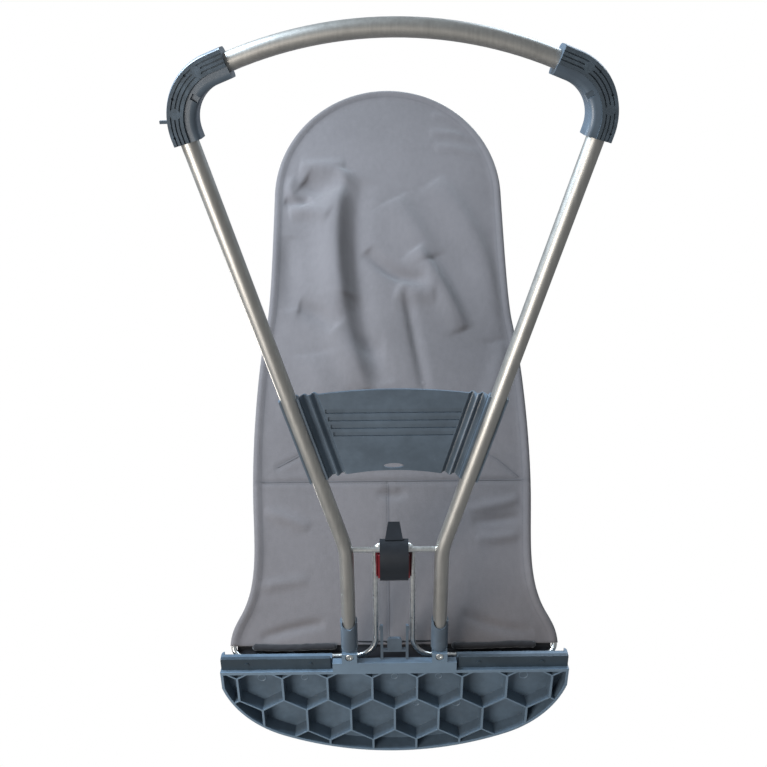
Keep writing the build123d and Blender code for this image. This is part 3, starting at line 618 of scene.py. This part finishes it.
class Cover:
    """The cover's shape: one closed bag of two layers round the wire, with folds and seams."""

    rows_below = 56         # rows of points below the cross seam, above it and round half the head
    rows_above = 132
    turns = 62
    columns = 118           # points across one layer, and round the wire
    wrap_steps = 7
    spread = 0.86           # a quarter turn's share that the columns' spacing follows
    cloth_over_wire = 0.9 * MM
    wrap_fade = 6.0 * MM    # how far from the wire the layers close on each other
    fold_fade = 12.0 * MM   # how far from the wire the folds die out
    rib_at = 6.2 * MM       # the sewn rib beside the wire
    rib_height = 0.5 * MM
    groove_depth = 0.6 * MM  # a seam's groove and the pucker on both sides of it
    groove_width = 2.8 * MM
    pucker_height = 0.35 * MM
    pucker_at = 6.5 * MM
    pucker_width = 3.0 * MM
    socket_lift = 2.6 * MM  # the cover's rise over the tube sockets, half its width, its length
    socket_half = 72 * MM
    socket_length = 45 * MM

    def __init__(self, settings):
        self.settings = settings
        seam = settings.seam_at
        fine = np.arange(-4, 5) * 0.9 * MM
        head = HEAD_SHARE * SEAT_LENGTH
        below = np.linspace(settings.start, seam - 6 * MM, self.rows_below)
        above = np.linspace(seam + 6 * MM, head, self.rows_above)
        self.levels = np.concatenate((below, seam + fine, above))
        self.edge, self.out = hoop_half_outline(self.levels, self.turns)
        self.outline = np.vstack((self.edge, self.edge[-2::-1] * (-1, 1)))
        self.wrap = WIRE_RADIUS + self.cloth_over_wire

    def from_edge(self, points):
        """Distance of each (x, s) point from the middle of the wire round it."""
        return np.abs(along_and_aside(points, self.outline[::3])[1])

    def seam_lines(self):
        """The seams' lines on the flat cover: cross, centre, and the two slanted darts."""
        seam = self.settings.seam_at
        half = self.edge[np.argmin(np.abs(self.levels - seam)), 0]
        return {
            "cross": np.array(((half, seam), (-half, seam))),
            "centre": np.array(((0.004, seam), (0.006, self.settings.start))),
            "dart_right": np.array(((-0.105, seam + 0.040), (-0.130, seam + 0.026),
                                    (-0.155, seam + 0.003))),
            "dart_left": np.array(((0.110, seam + 0.034), (0.140, seam + 0.018))),
        }

    def shift(self, points):
        """How far the cover lies from the seat's plane, towards the child, at (x, s) points."""
        edge_fade = 1 - np.exp(-(self.from_edge(points) / self.fold_fade) ** 2)
        towards_floor = sum(fold_height(points, fold) for fold in FOLDS) * self.settings.fold_depth
        towards_floor += 0.5 * MM * ripple(points, 7, 9, 0.16, 0.05)
        towards_floor += 0.16 * MM * ripple(points, 8, 14, 0.03, 0.012)
        for line in self.seam_lines().values():
            aside = np.abs(along_and_aside(points, line)[1])
            towards_floor -= self.groove_depth * np.exp(-(aside / self.groove_width) ** 2)
            pucker = np.exp(-((aside - self.pucker_at) / self.pucker_width) ** 2)
            towards_floor += self.pucker_height * pucker
        across, along = points.T
        over_sockets = np.exp(-(across / self.socket_half) ** 4 - (along / self.socket_length) ** 2)
        return over_sockets * self.socket_lift - towards_floor * edge_fade

    def half_gap(self, points):
        """Half the distance between the two layers, from the wire's wrap to the flat middle."""
        flat = self.settings.half_thickness
        from_edge = self.from_edge(points)
        rib = self.rib_height * np.exp(-((from_edge - self.rib_at) / (1.4 * MM)) ** 2)
        closing = np.exp(-(from_edge / self.wrap_fade) ** 2)
        return flat + (self.wrap - flat) * closing - rib * (flat / self.wrap)

    def floor_side(self, points):
        """Height of the cover's lower layer, in seat coordinates, at (x, s) points."""
        return self.shift(points) - self.half_gap(points)

    def seam_shade(self, points):
        """How much painted shade, in the thread's colour, lies along the seams' grooves and the rib
        line beside the wire.
        """
        shade_here = np.exp(-((self.from_edge(points) - self.rib_at) / MM) ** 2) * 0.20
        for line in self.seam_lines().values():
            aside = np.abs(along_and_aside(points, line)[1])
            shade_here = np.maximum(shade_here, np.exp(-(aside / (3 * MM)) ** 2) * 0.30)
        return shade_here

    def sections(self):
        """The closed loops that make the bag, as (rows, columns, 3) in seat coordinates.

        A row goes across the upper layer to the wire, round it in a half circle square to the
        wire, back across the lower layer and round the other side. The last rows at the foot
        close the bag in a quarter round.
        """
        reach = self.spread * math.pi / 2
        share = np.sin(np.linspace(-reach, reach, self.columns)) / math.sin(reach)
        across = share[None] * self.edge[:, :1]
        flat = np.dstack((across, np.broadcast_to(self.edge[:, 1:], across.shape)))
        points = flat.reshape(-1, 2)
        shift = self.shift(points).reshape(flat.shape[:2])
        gap = self.half_gap(points).reshape(flat.shape[:2])
        upper = np.dstack((flat, shift + gap))
        lower = np.dstack((flat, shift - gap))[:, ::-1]
        angle = np.linspace(math.pi / 2, -math.pi / 2, self.wrap_steps + 2)[1:-1]
        rounds = []
        for side in (1, -1):
            swing = angle if side > 0 else -angle
            turn = self.out[:, None] * (side, 1) * np.cos(swing)[None, :, None] * self.wrap
            rim = self.edge[:, None] * (side, 1) + turn
            rise = np.broadcast_to(np.sin(swing) * self.wrap, rim.shape[:2])
            middle = shift[:, -1:] if side > 0 else shift[:, :1]
            rounds.append(np.dstack((rim, rise + middle)))
        rows = np.concatenate((upper, rounds[0], lower, rounds[1]), axis=1)
        return self.closed_foot(rows, shift, gap)

    def closed_foot(self, rows, shift, gap):
        """The rows with a quarter round of extra ones that brings both layers together."""
        first = rows[0]
        across = np.concatenate((shift[0], np.full(self.wrap_steps, shift[0, -1]), shift[0, ::-1],
                                 np.full(self.wrap_steps, shift[0, 0])))
        extra = []
        for turn in (math.pi / 2, math.pi / 3, math.pi / 6):
            row = first.copy()
            row[:, 1] -= gap.min() * math.sin(turn)
            row[:, 2] = across + (first[:, 2] - across) * math.cos(turn)
            extra.append(row)
        return np.concatenate((np.array(extra), rows), axis=0)


def store_seam_shade(made, values):
    """Stores how much painted seam shade each point has."""
    layer = made.data.attributes.new("seam", "FLOAT", "POINT")
    layer.data.foreach_set("value", values.astype(np.float32))


# ------------------------------------------------------------------------------- operators


class BOUNCER_OT_cover(bpy.types.Operator):
    """Make the fabric cover, with its folds, seams and the rib beside the wire"""

    bl_idname = "bouncer.cover"
    bl_label = "Fabric cover"

    outline_share = 0.828   # of the rectangle round the cover, the share that its outline fills

    def execute(self, context):
        settings = context.scene.bouncer_fabric
        shape = Cover(settings)
        rows = shape.sections()
        points = rows.reshape(-1, 3)
        flat = points[:, :2]
        faces = grid_faces(*rows.shape[:2])
        made = build_mesh("fabric_cover", SEAT.world(points), faces, flat)
        store_seam_shade(made, shape.seam_shade(flat))
        tidy_mesh(made)
        cloth = woven_cloth("cover cloth", settings.colour, settings.thread, settings.pitch)
        attach(made, cloth, "seat")
        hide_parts("back_panel", "seat_panel_left", "seat_panel_right")
        width = 2 * shape.edge[:, 0].max()
        self.outline_share * width * SEAT_LENGTH
        return {"FINISHED"}


class BOUNCER_OT_stitches(bpy.types.Operator):
    """Make the seams' folded edges and the rows of stitches beside them and beside the wire"""

    bl_idname = "bouncer.stitches"
    bl_label = "Stitches"

    spacing = 3.6 * MM
    length = 2.5 * MM
    radius = 0.28 * MM
    seam_side = 2.6 * MM    # between a seam and its row of stitches
    cross_share = 0.94      # of the cross seam's length, what its row covers

    def lines(self, shape):
        """Lines of stitches: beside each seam, and all along the wire."""
        found = []
        for name, line in shape.seam_lines().items():
            ahead = (line[-1] - line[0]) / np.linalg.norm(line[-1] - line[0])
            aside = np.array((-ahead[1], ahead[0])) * self.seam_side
            covered = line * (self.cross_share, 1) if name == "cross" else line
            found.append(covered + aside)
        inside = shape.edge - shape.out * shape.rib_at
        found += [inside[4:-1], inside[4:-1] * (-1, 1)]
        return found

    def cords(self, shape):
        """The folded edge of each seam: a thin tube that lies on the cover along the seam."""
        points = []
        faces = []
        for line in shape.seam_lines().values():
            share = np.linspace(0, 1, 60)
            flat = along_line(share, np.linspace(0, 1, len(line)), line)
            path = SEAT.world(np.column_stack((flat, shape.floor_side(flat) + 0.1 * MM)))
            ends = np.clip(np.minimum(share, 1 - share) * 30, 0, 1) ** 0.5
            tube, quads = tube_along(path, 0.65 * MM * ends[:, None], 8)
            faces.append(quads + sum(len(part) for part in points))
            points.append(tube)
        made = build_mesh("seam_edges", np.concatenate(points), np.concatenate(faces))
        return tidy_mesh(made, 1e-6)

    def execute(self, context):
        settings = context.scene.bouncer_fabric
        shape = Cover(settings)
        cords = self.cords(shape)
        attach(cords, moulded_plastic("seam edge", settings.thread, 0.75), "seat")
        profile = [(0.0, -0.5), (0.7, -0.42), (1.0, -0.2), (1.0, 0.2), (0.7, 0.42), (0.0, 0.5)]
        capsule, faces = turned_shape(profile, 6)
        capsule *= (self.radius, self.radius, self.length)
        frames = []
        for line in self.lines(shape):
            run = np.concatenate(((0,), np.cumsum(np.linalg.norm(np.diff(line, axis=0), axis=1))))
            places = np.arange(self.spacing / 2, run[-1], self.spacing)
            ends = []
            for shift in (-0.5, 0.5):
                spots = along_line(places + shift * self.length, run, line)
                ends.append(np.column_stack((spots, shape.floor_side(spots))))
            middle = (ends[0] + ends[1]) / 2 + np.array((0, 0, 0.1 * MM))
            ahead = unit(ends[1] - ends[0])
            side = unit(np.cross(ahead, (0.0, 0.0, 1.0)))
            frames.append(np.stack((middle, side, np.cross(side, ahead), ahead), axis=1))
        points, quads = copies(capsule, faces, np.concatenate(frames))
        made = tidy_mesh(build_mesh("seam_stitches", SEAT.world(points), quads), 1e-6)
        attach(made, moulded_plastic("thread", settings.thread, 0.7), "seat")
        return {"FINISHED"}


class BOUNCER_OT_hems(bpy.types.Operator):
    """Make the two rolled hems at the foot plate"""

    bl_idname = "bouncer.hems"
    bl_label = "Rolled hems"

    steps = 150
    sides = 18

    def execute(self, context):
        settings = context.scene.bouncer_fabric
        dark = woven_cloth("hem cloth", settings.hem, settings.thread, settings.pitch)
        for seed, side in enumerate(("left", "right")):
            box = SEAT.local(node_points(f"front_hem_{side}"))
            low, high = box.min(0), box.max(0)
            radius = (high[2] - low[2]) / 2
            x = np.linspace(low[0] + 1 * MM, high[0] - 1 * MM, self.steps)
            wander = ripple(np.column_stack((x, x * 0)), 20 + seed, 5, 0.09, 0.03)
            s = (low[1] + high[1]) / 2 + 0.8 * MM * wander
            path = SEAT.world(np.column_stack((x, s, 0.4 * MM * wander)))
            angle = np.arange(self.sides) * 2 * math.pi / self.sides
            wrap = grid_spots(x, angle * radius * 2)
            crumple = ripple(wrap, 30 + seed, 10, 0.03, 0.008).reshape(self.steps, self.sides)
            twist = np.sin(angle[None] + x[:, None] * 60)
            ends = np.clip(np.minimum(x - x[0], x[-1] - x) / (3 * MM), 0, 1) ** 0.5
            radii = radius * (0.93 + 0.16 * crumple + 0.06 * twist) * ends[:, None]
            points, faces = tube_along(path, radii, self.sides)
            flat = np.repeat(np.column_stack((x, s)), self.sides, axis=0)
            made = build_mesh(f"rolled_hem_{side}", points, faces, flat)
            store_seam_shade(made, np.zeros(len(points)))
            tidy_mesh(made)
            attach(made, dark, "seat")
            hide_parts(f"front_hem_{side}")
        return {"FINISHED"}


class BOUNCER_OT_lining(bpy.types.Operator):
    """Make the dark lining that goes from the hems round the torsion wire"""

    bl_idname = "bouncer.lining"
    bl_label = "Foot lining"

    # (along, out) from the hinge, in wire radii: over the wire from the hems, then down in front
    run = ((4.9, 0.3), (3.6, 0.9), (2.4, 1.5), (1.0, 1.75), (-0.3, 1.75), (-1.3, 1.25),
           (-1.75, 0.3), (-1.8, -0.8))
    thickness = 1.0 * MM

    def execute(self, context):
        settings = context.scene.bouncer_fabric
        hoop = HOOP_EDGES.reshape(-1, 3)
        half = hoop[hoop[:, 1] < WIRE_RADIUS][:, 0].max() - 3 * MM
        x = np.linspace(-half, half, 240)
        share = np.linspace(0, len(self.run) - 1, 40)
        line = along_line(share, np.arange(len(self.run)), self.run) * WIRE_RADIUS
        ahead = unit(np.gradient(line, axis=0))
        out = np.stack((ahead[:, 1], -ahead[:, 0]), axis=1) * self.thickness / 2
        ring = np.concatenate((line + out, (line - out)[::-1]))
        spots = grid_spots(x, np.arange(len(ring)) * MM)
        wave = 0.35 * MM * ripple(spots, 51, 12, 0.05, 0.012).reshape(len(x), len(ring))
        shaped = ring[None] + wave[..., None] * unit(ring - ring.mean(0))[None]
        points = np.dstack((np.broadcast_to(x[:, None], shaped.shape[:2]), shaped)).reshape(-1, 3)
        faces = self.closed(len(x), len(ring))
        made = build_mesh("foot_lining", SEAT.world(points), faces, points[:, :2])
        store_seam_shade(made, np.zeros(len(points)))
        tidy_mesh(made)
        cloth = woven_cloth("lining cloth", settings.hem, settings.thread, settings.pitch)
        attach(made, cloth, "seat")
        return {"FINISHED"}

    def closed(self, rows, columns):
        """The sheet's faces, with its two ends closed by strips between its layers."""
        faces = [grid_faces(rows, columns)]
        step = np.arange(columns // 2 - 1)
        for first in (0, (rows - 1) * columns):
            corners = (step, step + 1, columns - 2 - step, columns - 1 - step)
            faces.append(np.stack(corners, axis=1) + first)
        return np.concatenate(faces)


class BOUNCER_OT_flap(bpy.types.Operator):
    """Make the cloth flap on the lying side, with its stitched border and press buttons"""

    bl_idname = "bouncer.flap"
    bl_label = "Flap and buttons"

    rows = 90
    columns = 84
    corner = 15 * MM
    border = 8 * MM         # the row of stitches, in from the edge

    def outline(self, low, high, across):
        """Half widths of the flap at each level, with rounded corners at both ends."""
        foot, head = across
        level = np.linspace(0, 1, self.rows)
        level = 0.5 - 0.5 * np.cos(math.pi * level)
        s = low + (high - low) * level
        half = foot + (head - foot) * level
        short = np.clip((self.corner - np.minimum(s - low, high - s)) / self.corner, 0, 1)
        return s, half - self.corner * (1 - np.sqrt(1 - short ** 2))

    def execute(self, context):
        settings = context.scene.bouncer_fabric
        spots = SEAT.local(node_points("restraint_flap"))
        low, high = spots.min(0), spots.max(0)
        foot_half = spots[spots[:, 1] < low[1] + 20 * MM][:, 0].max()
        s, half = self.outline(low[1], high[1], (foot_half, high[0]))
        share = np.sin(np.linspace(-math.pi / 2, math.pi / 2, self.columns))
        across = share[None] * half[:, None]
        flat = np.dstack((across, np.broadcast_to(s[:, None], across.shape)))
        points = flat.reshape(-1, 2)
        from_ends = np.minimum(s - low[1], high[1] - s)
        inward = np.minimum(from_ends[:, None], (1 - np.abs(share)) * half[:, None])
        middle = (low[2] + high[2]) / 2
        thick = (high[2] - low[2]) / 2
        puff = np.clip(inward / (4 * MM), 0, 1) ** 0.5
        groove = np.exp(-((inward - self.border) / (1.4 * MM)) ** 2)
        wave = ripple(points, 41, 8, 0.09, 0.035).reshape(puff.shape)
        gap = thick * puff * (1 - 0.45 * groove)
        rise = middle + 0.55 * MM * wave * puff
        upper = np.dstack((flat, rise + gap))
        lower = np.dstack((flat, rise - gap))[:, ::-1]
        rows = np.concatenate((upper, lower), axis=1)
        grid = rows.reshape(-1, 3)
        faces = grid_faces(*rows.shape[:2])
        made = build_mesh("flap_cloth", SEAT.world(grid), faces, grid[:, :2])
        # painted shade in the pinched groove of the stitched border
        both = np.concatenate((groove, groove[:, ::-1]), axis=1).ravel()
        store_seam_shade(made, both * 0.6)
        tidy_mesh(made, 0.04 * MM)
        colour = shade(settings.colour, 1.05)
        cloth = woven_cloth("flap cloth", colour, settings.thread, settings.pitch)
        attach(made, cloth, "seat")
        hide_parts("restraint_flap")
        2 * high[0]
        high[1] - low[1]
        (foot_half + high[0]) * (high[1] - low[1])
        self.buttons(context)
        return {"FINISHED"}

    def buttons(self, context):
        """Press buttons, each a low dome with a rolled rim round a dished middle."""
        spots = SEAT.local(node_points("flap_buttons"))
        low, high = spots.min(0), spots.max(0)
        profile = [(0.0, 0.0), (0.96, 0.0), (1.0, 0.15), (1.0, 0.55), (0.93, 0.85), (0.82, 0.97),
                   (0.70, 0.92), (0.60, 0.66), (0.42, 0.58), (0.22, 0.62), (0.0, 0.64)]
        frames = []
        middle = (low[1] + high[1]) / 2
        for right in (False, True):
            for upper in (False, True):
                mine = spots[((spots[:, 0] < 0) == right) & ((spots[:, 1] > middle) == upper)]
                centre = (mine.min(0) + mine.max(0)) / 2
                radius = (mine.max(0) - mine.min(0))[0] / 2
                place = (centre[0], centre[1], low[2])
                frames.append(upright(place, radius, high[2] - low[2]))
        shape, faces = turned_shape(profile, 40)
        points, quads = copies(shape, faces, np.array(frames))
        made = tidy_mesh(build_mesh("press_buttons", SEAT.world(points), quads))
        colour = context.scene.bouncer_plastic.button
        attach(made, moulded_plastic("button plastic", colour, 0.5), "seat")
        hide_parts("flap_buttons")


class BOUNCER_OT_marks(bpy.types.Operator):
    """Make the moulding marks: ejector rings in the foot plate's cells"""

    bl_idname = "bouncer.marks"
    bl_label = "Moulding marks"

    # share of the half width, share of the plate's depth and radius in mm of each ejector ring
    rings = ((-0.76, 0.72, 5.5), (0.78, 0.72, 5.0), (0.28, 0.42, 6.0), (-0.37, 0.42, 5.5),
             (0.0, 0.72, 4.0), (-0.13, 0.42, 4.0), (0.53, 0.72, 4.0), (-0.26, 0.72, 4.0))
    profile_unit = 3 * MM   # height that the profile's heights are shares of

    def floor_height(self, x, y):
        """Height of the plate's underside straight above a point of the floor."""
        plate = frame["nodes"]["foot_plate"]
        found, place, _, _ = plate.ray_cast(Vector((x, y, -0.01)), Vector((0, 0, 1)))
        if not found:
            raise RuntimeError("an ejector ring is outside the foot plate")
        return place.z

    def execute(self, context):
        low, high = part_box("foot_plate")
        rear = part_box("retainer_strip_left")[1].y
        profile = [(0.0, 0.02), (0.80, 0.02), (0.84, -0.10), (0.92, -0.16), (1.0, -0.10), (1.03, 0.2)]
        shape, faces = turned_shape(profile, 36)
        frames = []
        for across, deep, radius in self.rings:
            x = across * high.x
            y = low.y + deep * (rear - low.y)
            place = (x, y, self.floor_height(x, y))
            frames.append(upright(place, radius * MM, self.profile_unit))
        points, quads = copies(shape, faces, np.array(frames))
        made = tidy_mesh(build_mesh("ejector_rings", points, quads), 1e-7)
        colour = shade(context.scene.bouncer_plastic.plate, 1.5)
        attach(made, moulded_plastic("ring plastic", colour), "base")
        return {"FINISHED"}


class BOUNCER_OT_finishes(bpy.types.Operator):
    """Give every CAD piece its finish"""

    bl_idname = "bouncer.finishes"
    bl_label = "Finishes"

    def cell_floor(self):
        """Height of the cells' floors: where a line straight up in a cell meets the plate."""
        low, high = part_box("foot_plate")
        start = Vector((0.0, low.y + 0.42 * (high.y - low.y), -0.01))
        found, place, _, _ = frame["nodes"]["foot_plate"].ray_cast(start, Vector((0, 0, 1)))
        if not found:
            raise RuntimeError("no cell floor above the middle of the foot plate")
        return place.z

    def execute(self, context):
        plastic = context.scene.bouncer_plastic
        metal = context.scene.bouncer_metal
        plate = ribbed_plate("plate plastic", plastic.plate, self.cell_floor())
        fitting = moulded_plastic("fitting plastic", plastic.fitting, 0.38, coat=0.1)
        rubber = ribbed_rubber("pad rubber", plastic.rubber)
        tube = painted_tube("tube paint", metal.tube)
        zinc = plated_wire("zinc plate", metal.zinc)
        pieces = {
            plate: ("foot_plate",),
            moulded_plastic("strip plastic", plastic.strip, 0.42): ("retainer_strip_left",
                                                                    "retainer_strip_right"),
            fitting: ("tube_socket_left", "tube_socket_right", "corner_piece_left",
                      "corner_piece_right", "tube_brace", "cover_clip"),
            rubber: ("corner_pad_left", "corner_pad_right", "corner_tag"),
            tube: ("side_tube_left", "side_tube_right", "rear_bar"),
            moulded_plastic("blackened pin", plastic.strip, 0.3): ("retainer_pins",),
            zinc: ("crossbar", "socket_screws", "seat_hoop", "torsion_bail", "catch_spring"),
            moulded_plastic("catch nylon", plastic.hook, 0.42, 0.00008): ("catch_hook",),
            moulded_plastic("block plastic", plastic.block, 0.3, coat=0.2): ("catch_block",),
        }
        for material, names in pieces.items():
            for name in names:
                mesh = frame["nodes"][name].data
                mesh.materials.clear()
                mesh.materials.append(material)
        return {"FINISHED"}


class BOUNCER_OT_stage(bpy.types.Operator):
    """Make the pale floor, the soft lights and the camera"""

    bl_idname = "bouncer.stage"
    bl_label = "Stage"

    # the camera, from the middle of the object: its place, where it looks and which way is up
    eye = (0.0111, 0.4068, -0.9296)
    look = (-0.002307, -0.437229, 0.899347)
    up = (-0.010625, 0.899310, 0.437183)

    def floor(self, settings):
        """A floor that shows only from above, and only to the camera."""
        half = settings.floor_size / 2
        corners = np.array(((-half, -half, 0), (half, -half, 0), (half, half, 0), (-half, half, 0)))
        made = build_mesh("floor", corners, np.array(((0, 1, 2, 3),)))
        paint = Paint("pale floor")
        seen = Value(paint, paint.node("ShaderNodeLightPath").outputs["Is Camera Ray"])
        below = Value(paint, paint.node("ShaderNodeNewGeometry").outputs["Backfacing"])
        cloud = paint.noise(3.0)
        colour = paint.mix(cloud, shade(settings.floor, 0.985), settings.floor)
        shader = paint.node("ShaderNodeBsdfPrincipled", {}, {"Base Color": colour, "Roughness": 0.7})
        clear = paint.node("ShaderNodeBsdfTransparent")
        both = paint.node("ShaderNodeMixShader", {}, {
            0: seen * (1 - below),
            1: Value(paint, clear.outputs[0]),
            2: Value(paint, shader.outputs[0])})
        paint.node("ShaderNodeOutputMaterial", {}, {0: Value(paint, both.outputs[0])})
        made.data.materials.append(paint.material)
        return made

    def light(self, name, place, aim, size, power, colour):
        """A square soft light that faces a point."""
        data = bpy.data.lights.new(name, "AREA")
        data.shape = "SQUARE"
        data.size = size
        data.energy = power
        data.color = colour[:3]
        made = bpy.data.objects.new(name, data)
        bpy.context.scene.collection.objects.link(made)
        made.location = place
        made.rotation_mode = "QUATERNION"
        made.rotation_quaternion = (Vector(aim) - Vector(place)).to_track_quat("-Z", "Y")
        return made

    def world(self, settings):
        """White behind the object, weaker even light on it."""
        world = bpy.data.worlds.new("studio")
        bpy.context.scene.world = world
        world.use_nodes = True
        tree = world.node_tree
        tree.nodes.clear()
        seen = tree.nodes.new("ShaderNodeLightPath")
        lit, shown = [tree.nodes.new("ShaderNodeBackground") for _ in range(2)]
        lit.inputs[1].default_value = settings.ambient
        lit.inputs[0].default_value = (0.94, 0.97, 1.0, 1.0)
        shown.inputs[0].default_value = (1.0, 1.0, 1.0, 1.0)
        both = tree.nodes.new("ShaderNodeMixShader")
        output = tree.nodes.new("ShaderNodeOutputWorld")
        tree.links.new(seen.outputs["Is Camera Ray"], both.inputs[0])
        tree.links.new(lit.outputs[0], both.inputs[1])
        tree.links.new(shown.outputs[0], both.inputs[2])
        tree.links.new(both.outputs[0], output.inputs[0])

    def camera(self, settings):
        """Looks up at the underside from below the head end."""
        data = bpy.data.cameras.new("camera")
        data.lens = settings.lens
        data.sensor_width = 36.0
        data.clip_start = 0.02
        made = bpy.data.objects.new("camera", data)
        bpy.context.scene.collection.objects.link(made)
        low, high = cad_box
        centre = (low + high) / 2
        place = centre + Vector(self.eye)
        ahead = Vector(self.look)
        up = Vector(self.up)
        right = ahead.cross(up).normalized()
        turn = Matrix((right, up, -ahead)).transposed()
        made.matrix_world = Matrix.Translation(place) @ turn.to_4x4()
        bpy.context.scene.camera = made

    def execute(self, context):
        settings = context.scene.bouncer_stage
        context.scene.view_settings.view_transform = "Standard"
        low, high = cad_box
        centre = (low + high) / 2
        lights = (
            ("main light", (0.70, 0.82, 0.06), 0.45, settings.main_power, settings.cool),
            ("fill light", (0.85, 0.05, -1.0), 0.7, settings.fill_power, settings.warm),
            ("upper light", (1.3, -1.4, 1.8), 1.2, settings.upper_power, settings.warm),
            ("head light", (-1.1, 1.4, 1.4), 1.2, settings.upper_power, settings.cool),
        )
        objects = [self.floor(settings)]
        for name, place, size, power, colour in lights:
            objects.append(self.light(name, place, centre, size, power, colour))
        self.world(settings)
        self.camera(settings)
        return {"FINISHED"}


class BOUNCER_PT_panel(bpy.types.Panel):
    """Lists the steps in order"""

    bl_idname = "BOUNCER_PT_panel"
    bl_label = "Bouncer seat"
    bl_space_type = "VIEW_3D"
    bl_region_type = "UI"
    bl_category = "Bouncer"

    def draw(self, context):
        for operator in OPERATORS:
            self.layout.operator(operator.bl_idname)


SETTINGS = {"bouncer_fabric": FabricSettings, "bouncer_plastic": PlasticSettings,
            "bouncer_metal": MetalSettings, "bouncer_stage": StageSettings}
OPERATORS = (BOUNCER_OT_finishes, BOUNCER_OT_cover, BOUNCER_OT_stitches, BOUNCER_OT_hems,
             BOUNCER_OT_lining, BOUNCER_OT_flap, BOUNCER_OT_marks, BOUNCER_OT_stage)


def register():
    for name, group in SETTINGS.items():
        bpy.utils.register_class(group)
        setattr(bpy.types.Scene, name, bpy.props.PointerProperty(type=group))
    for operator in OPERATORS:
        bpy.utils.register_class(operator)
    bpy.utils.register_class(BOUNCER_PT_panel)


def unregister():
    bpy.utils.unregister_class(BOUNCER_PT_panel)
    for operator in reversed(OPERATORS):
        bpy.utils.unregister_class(operator)
    for name, group in SETTINGS.items():
        delattr(bpy.types.Scene, name)
        bpy.utils.unregister_class(group)


def main():
    register()
    bpy.ops.bouncer.finishes()
    bpy.ops.bouncer.cover()
    bpy.ops.bouncer.stitches()
    bpy.ops.bouncer.hems()
    bpy.ops.bouncer.lining()
    bpy.ops.bouncer.flap()
    bpy.ops.bouncer.marks()
    bpy.ops.bouncer.stage()


if __name__ == "__main__":
    main()
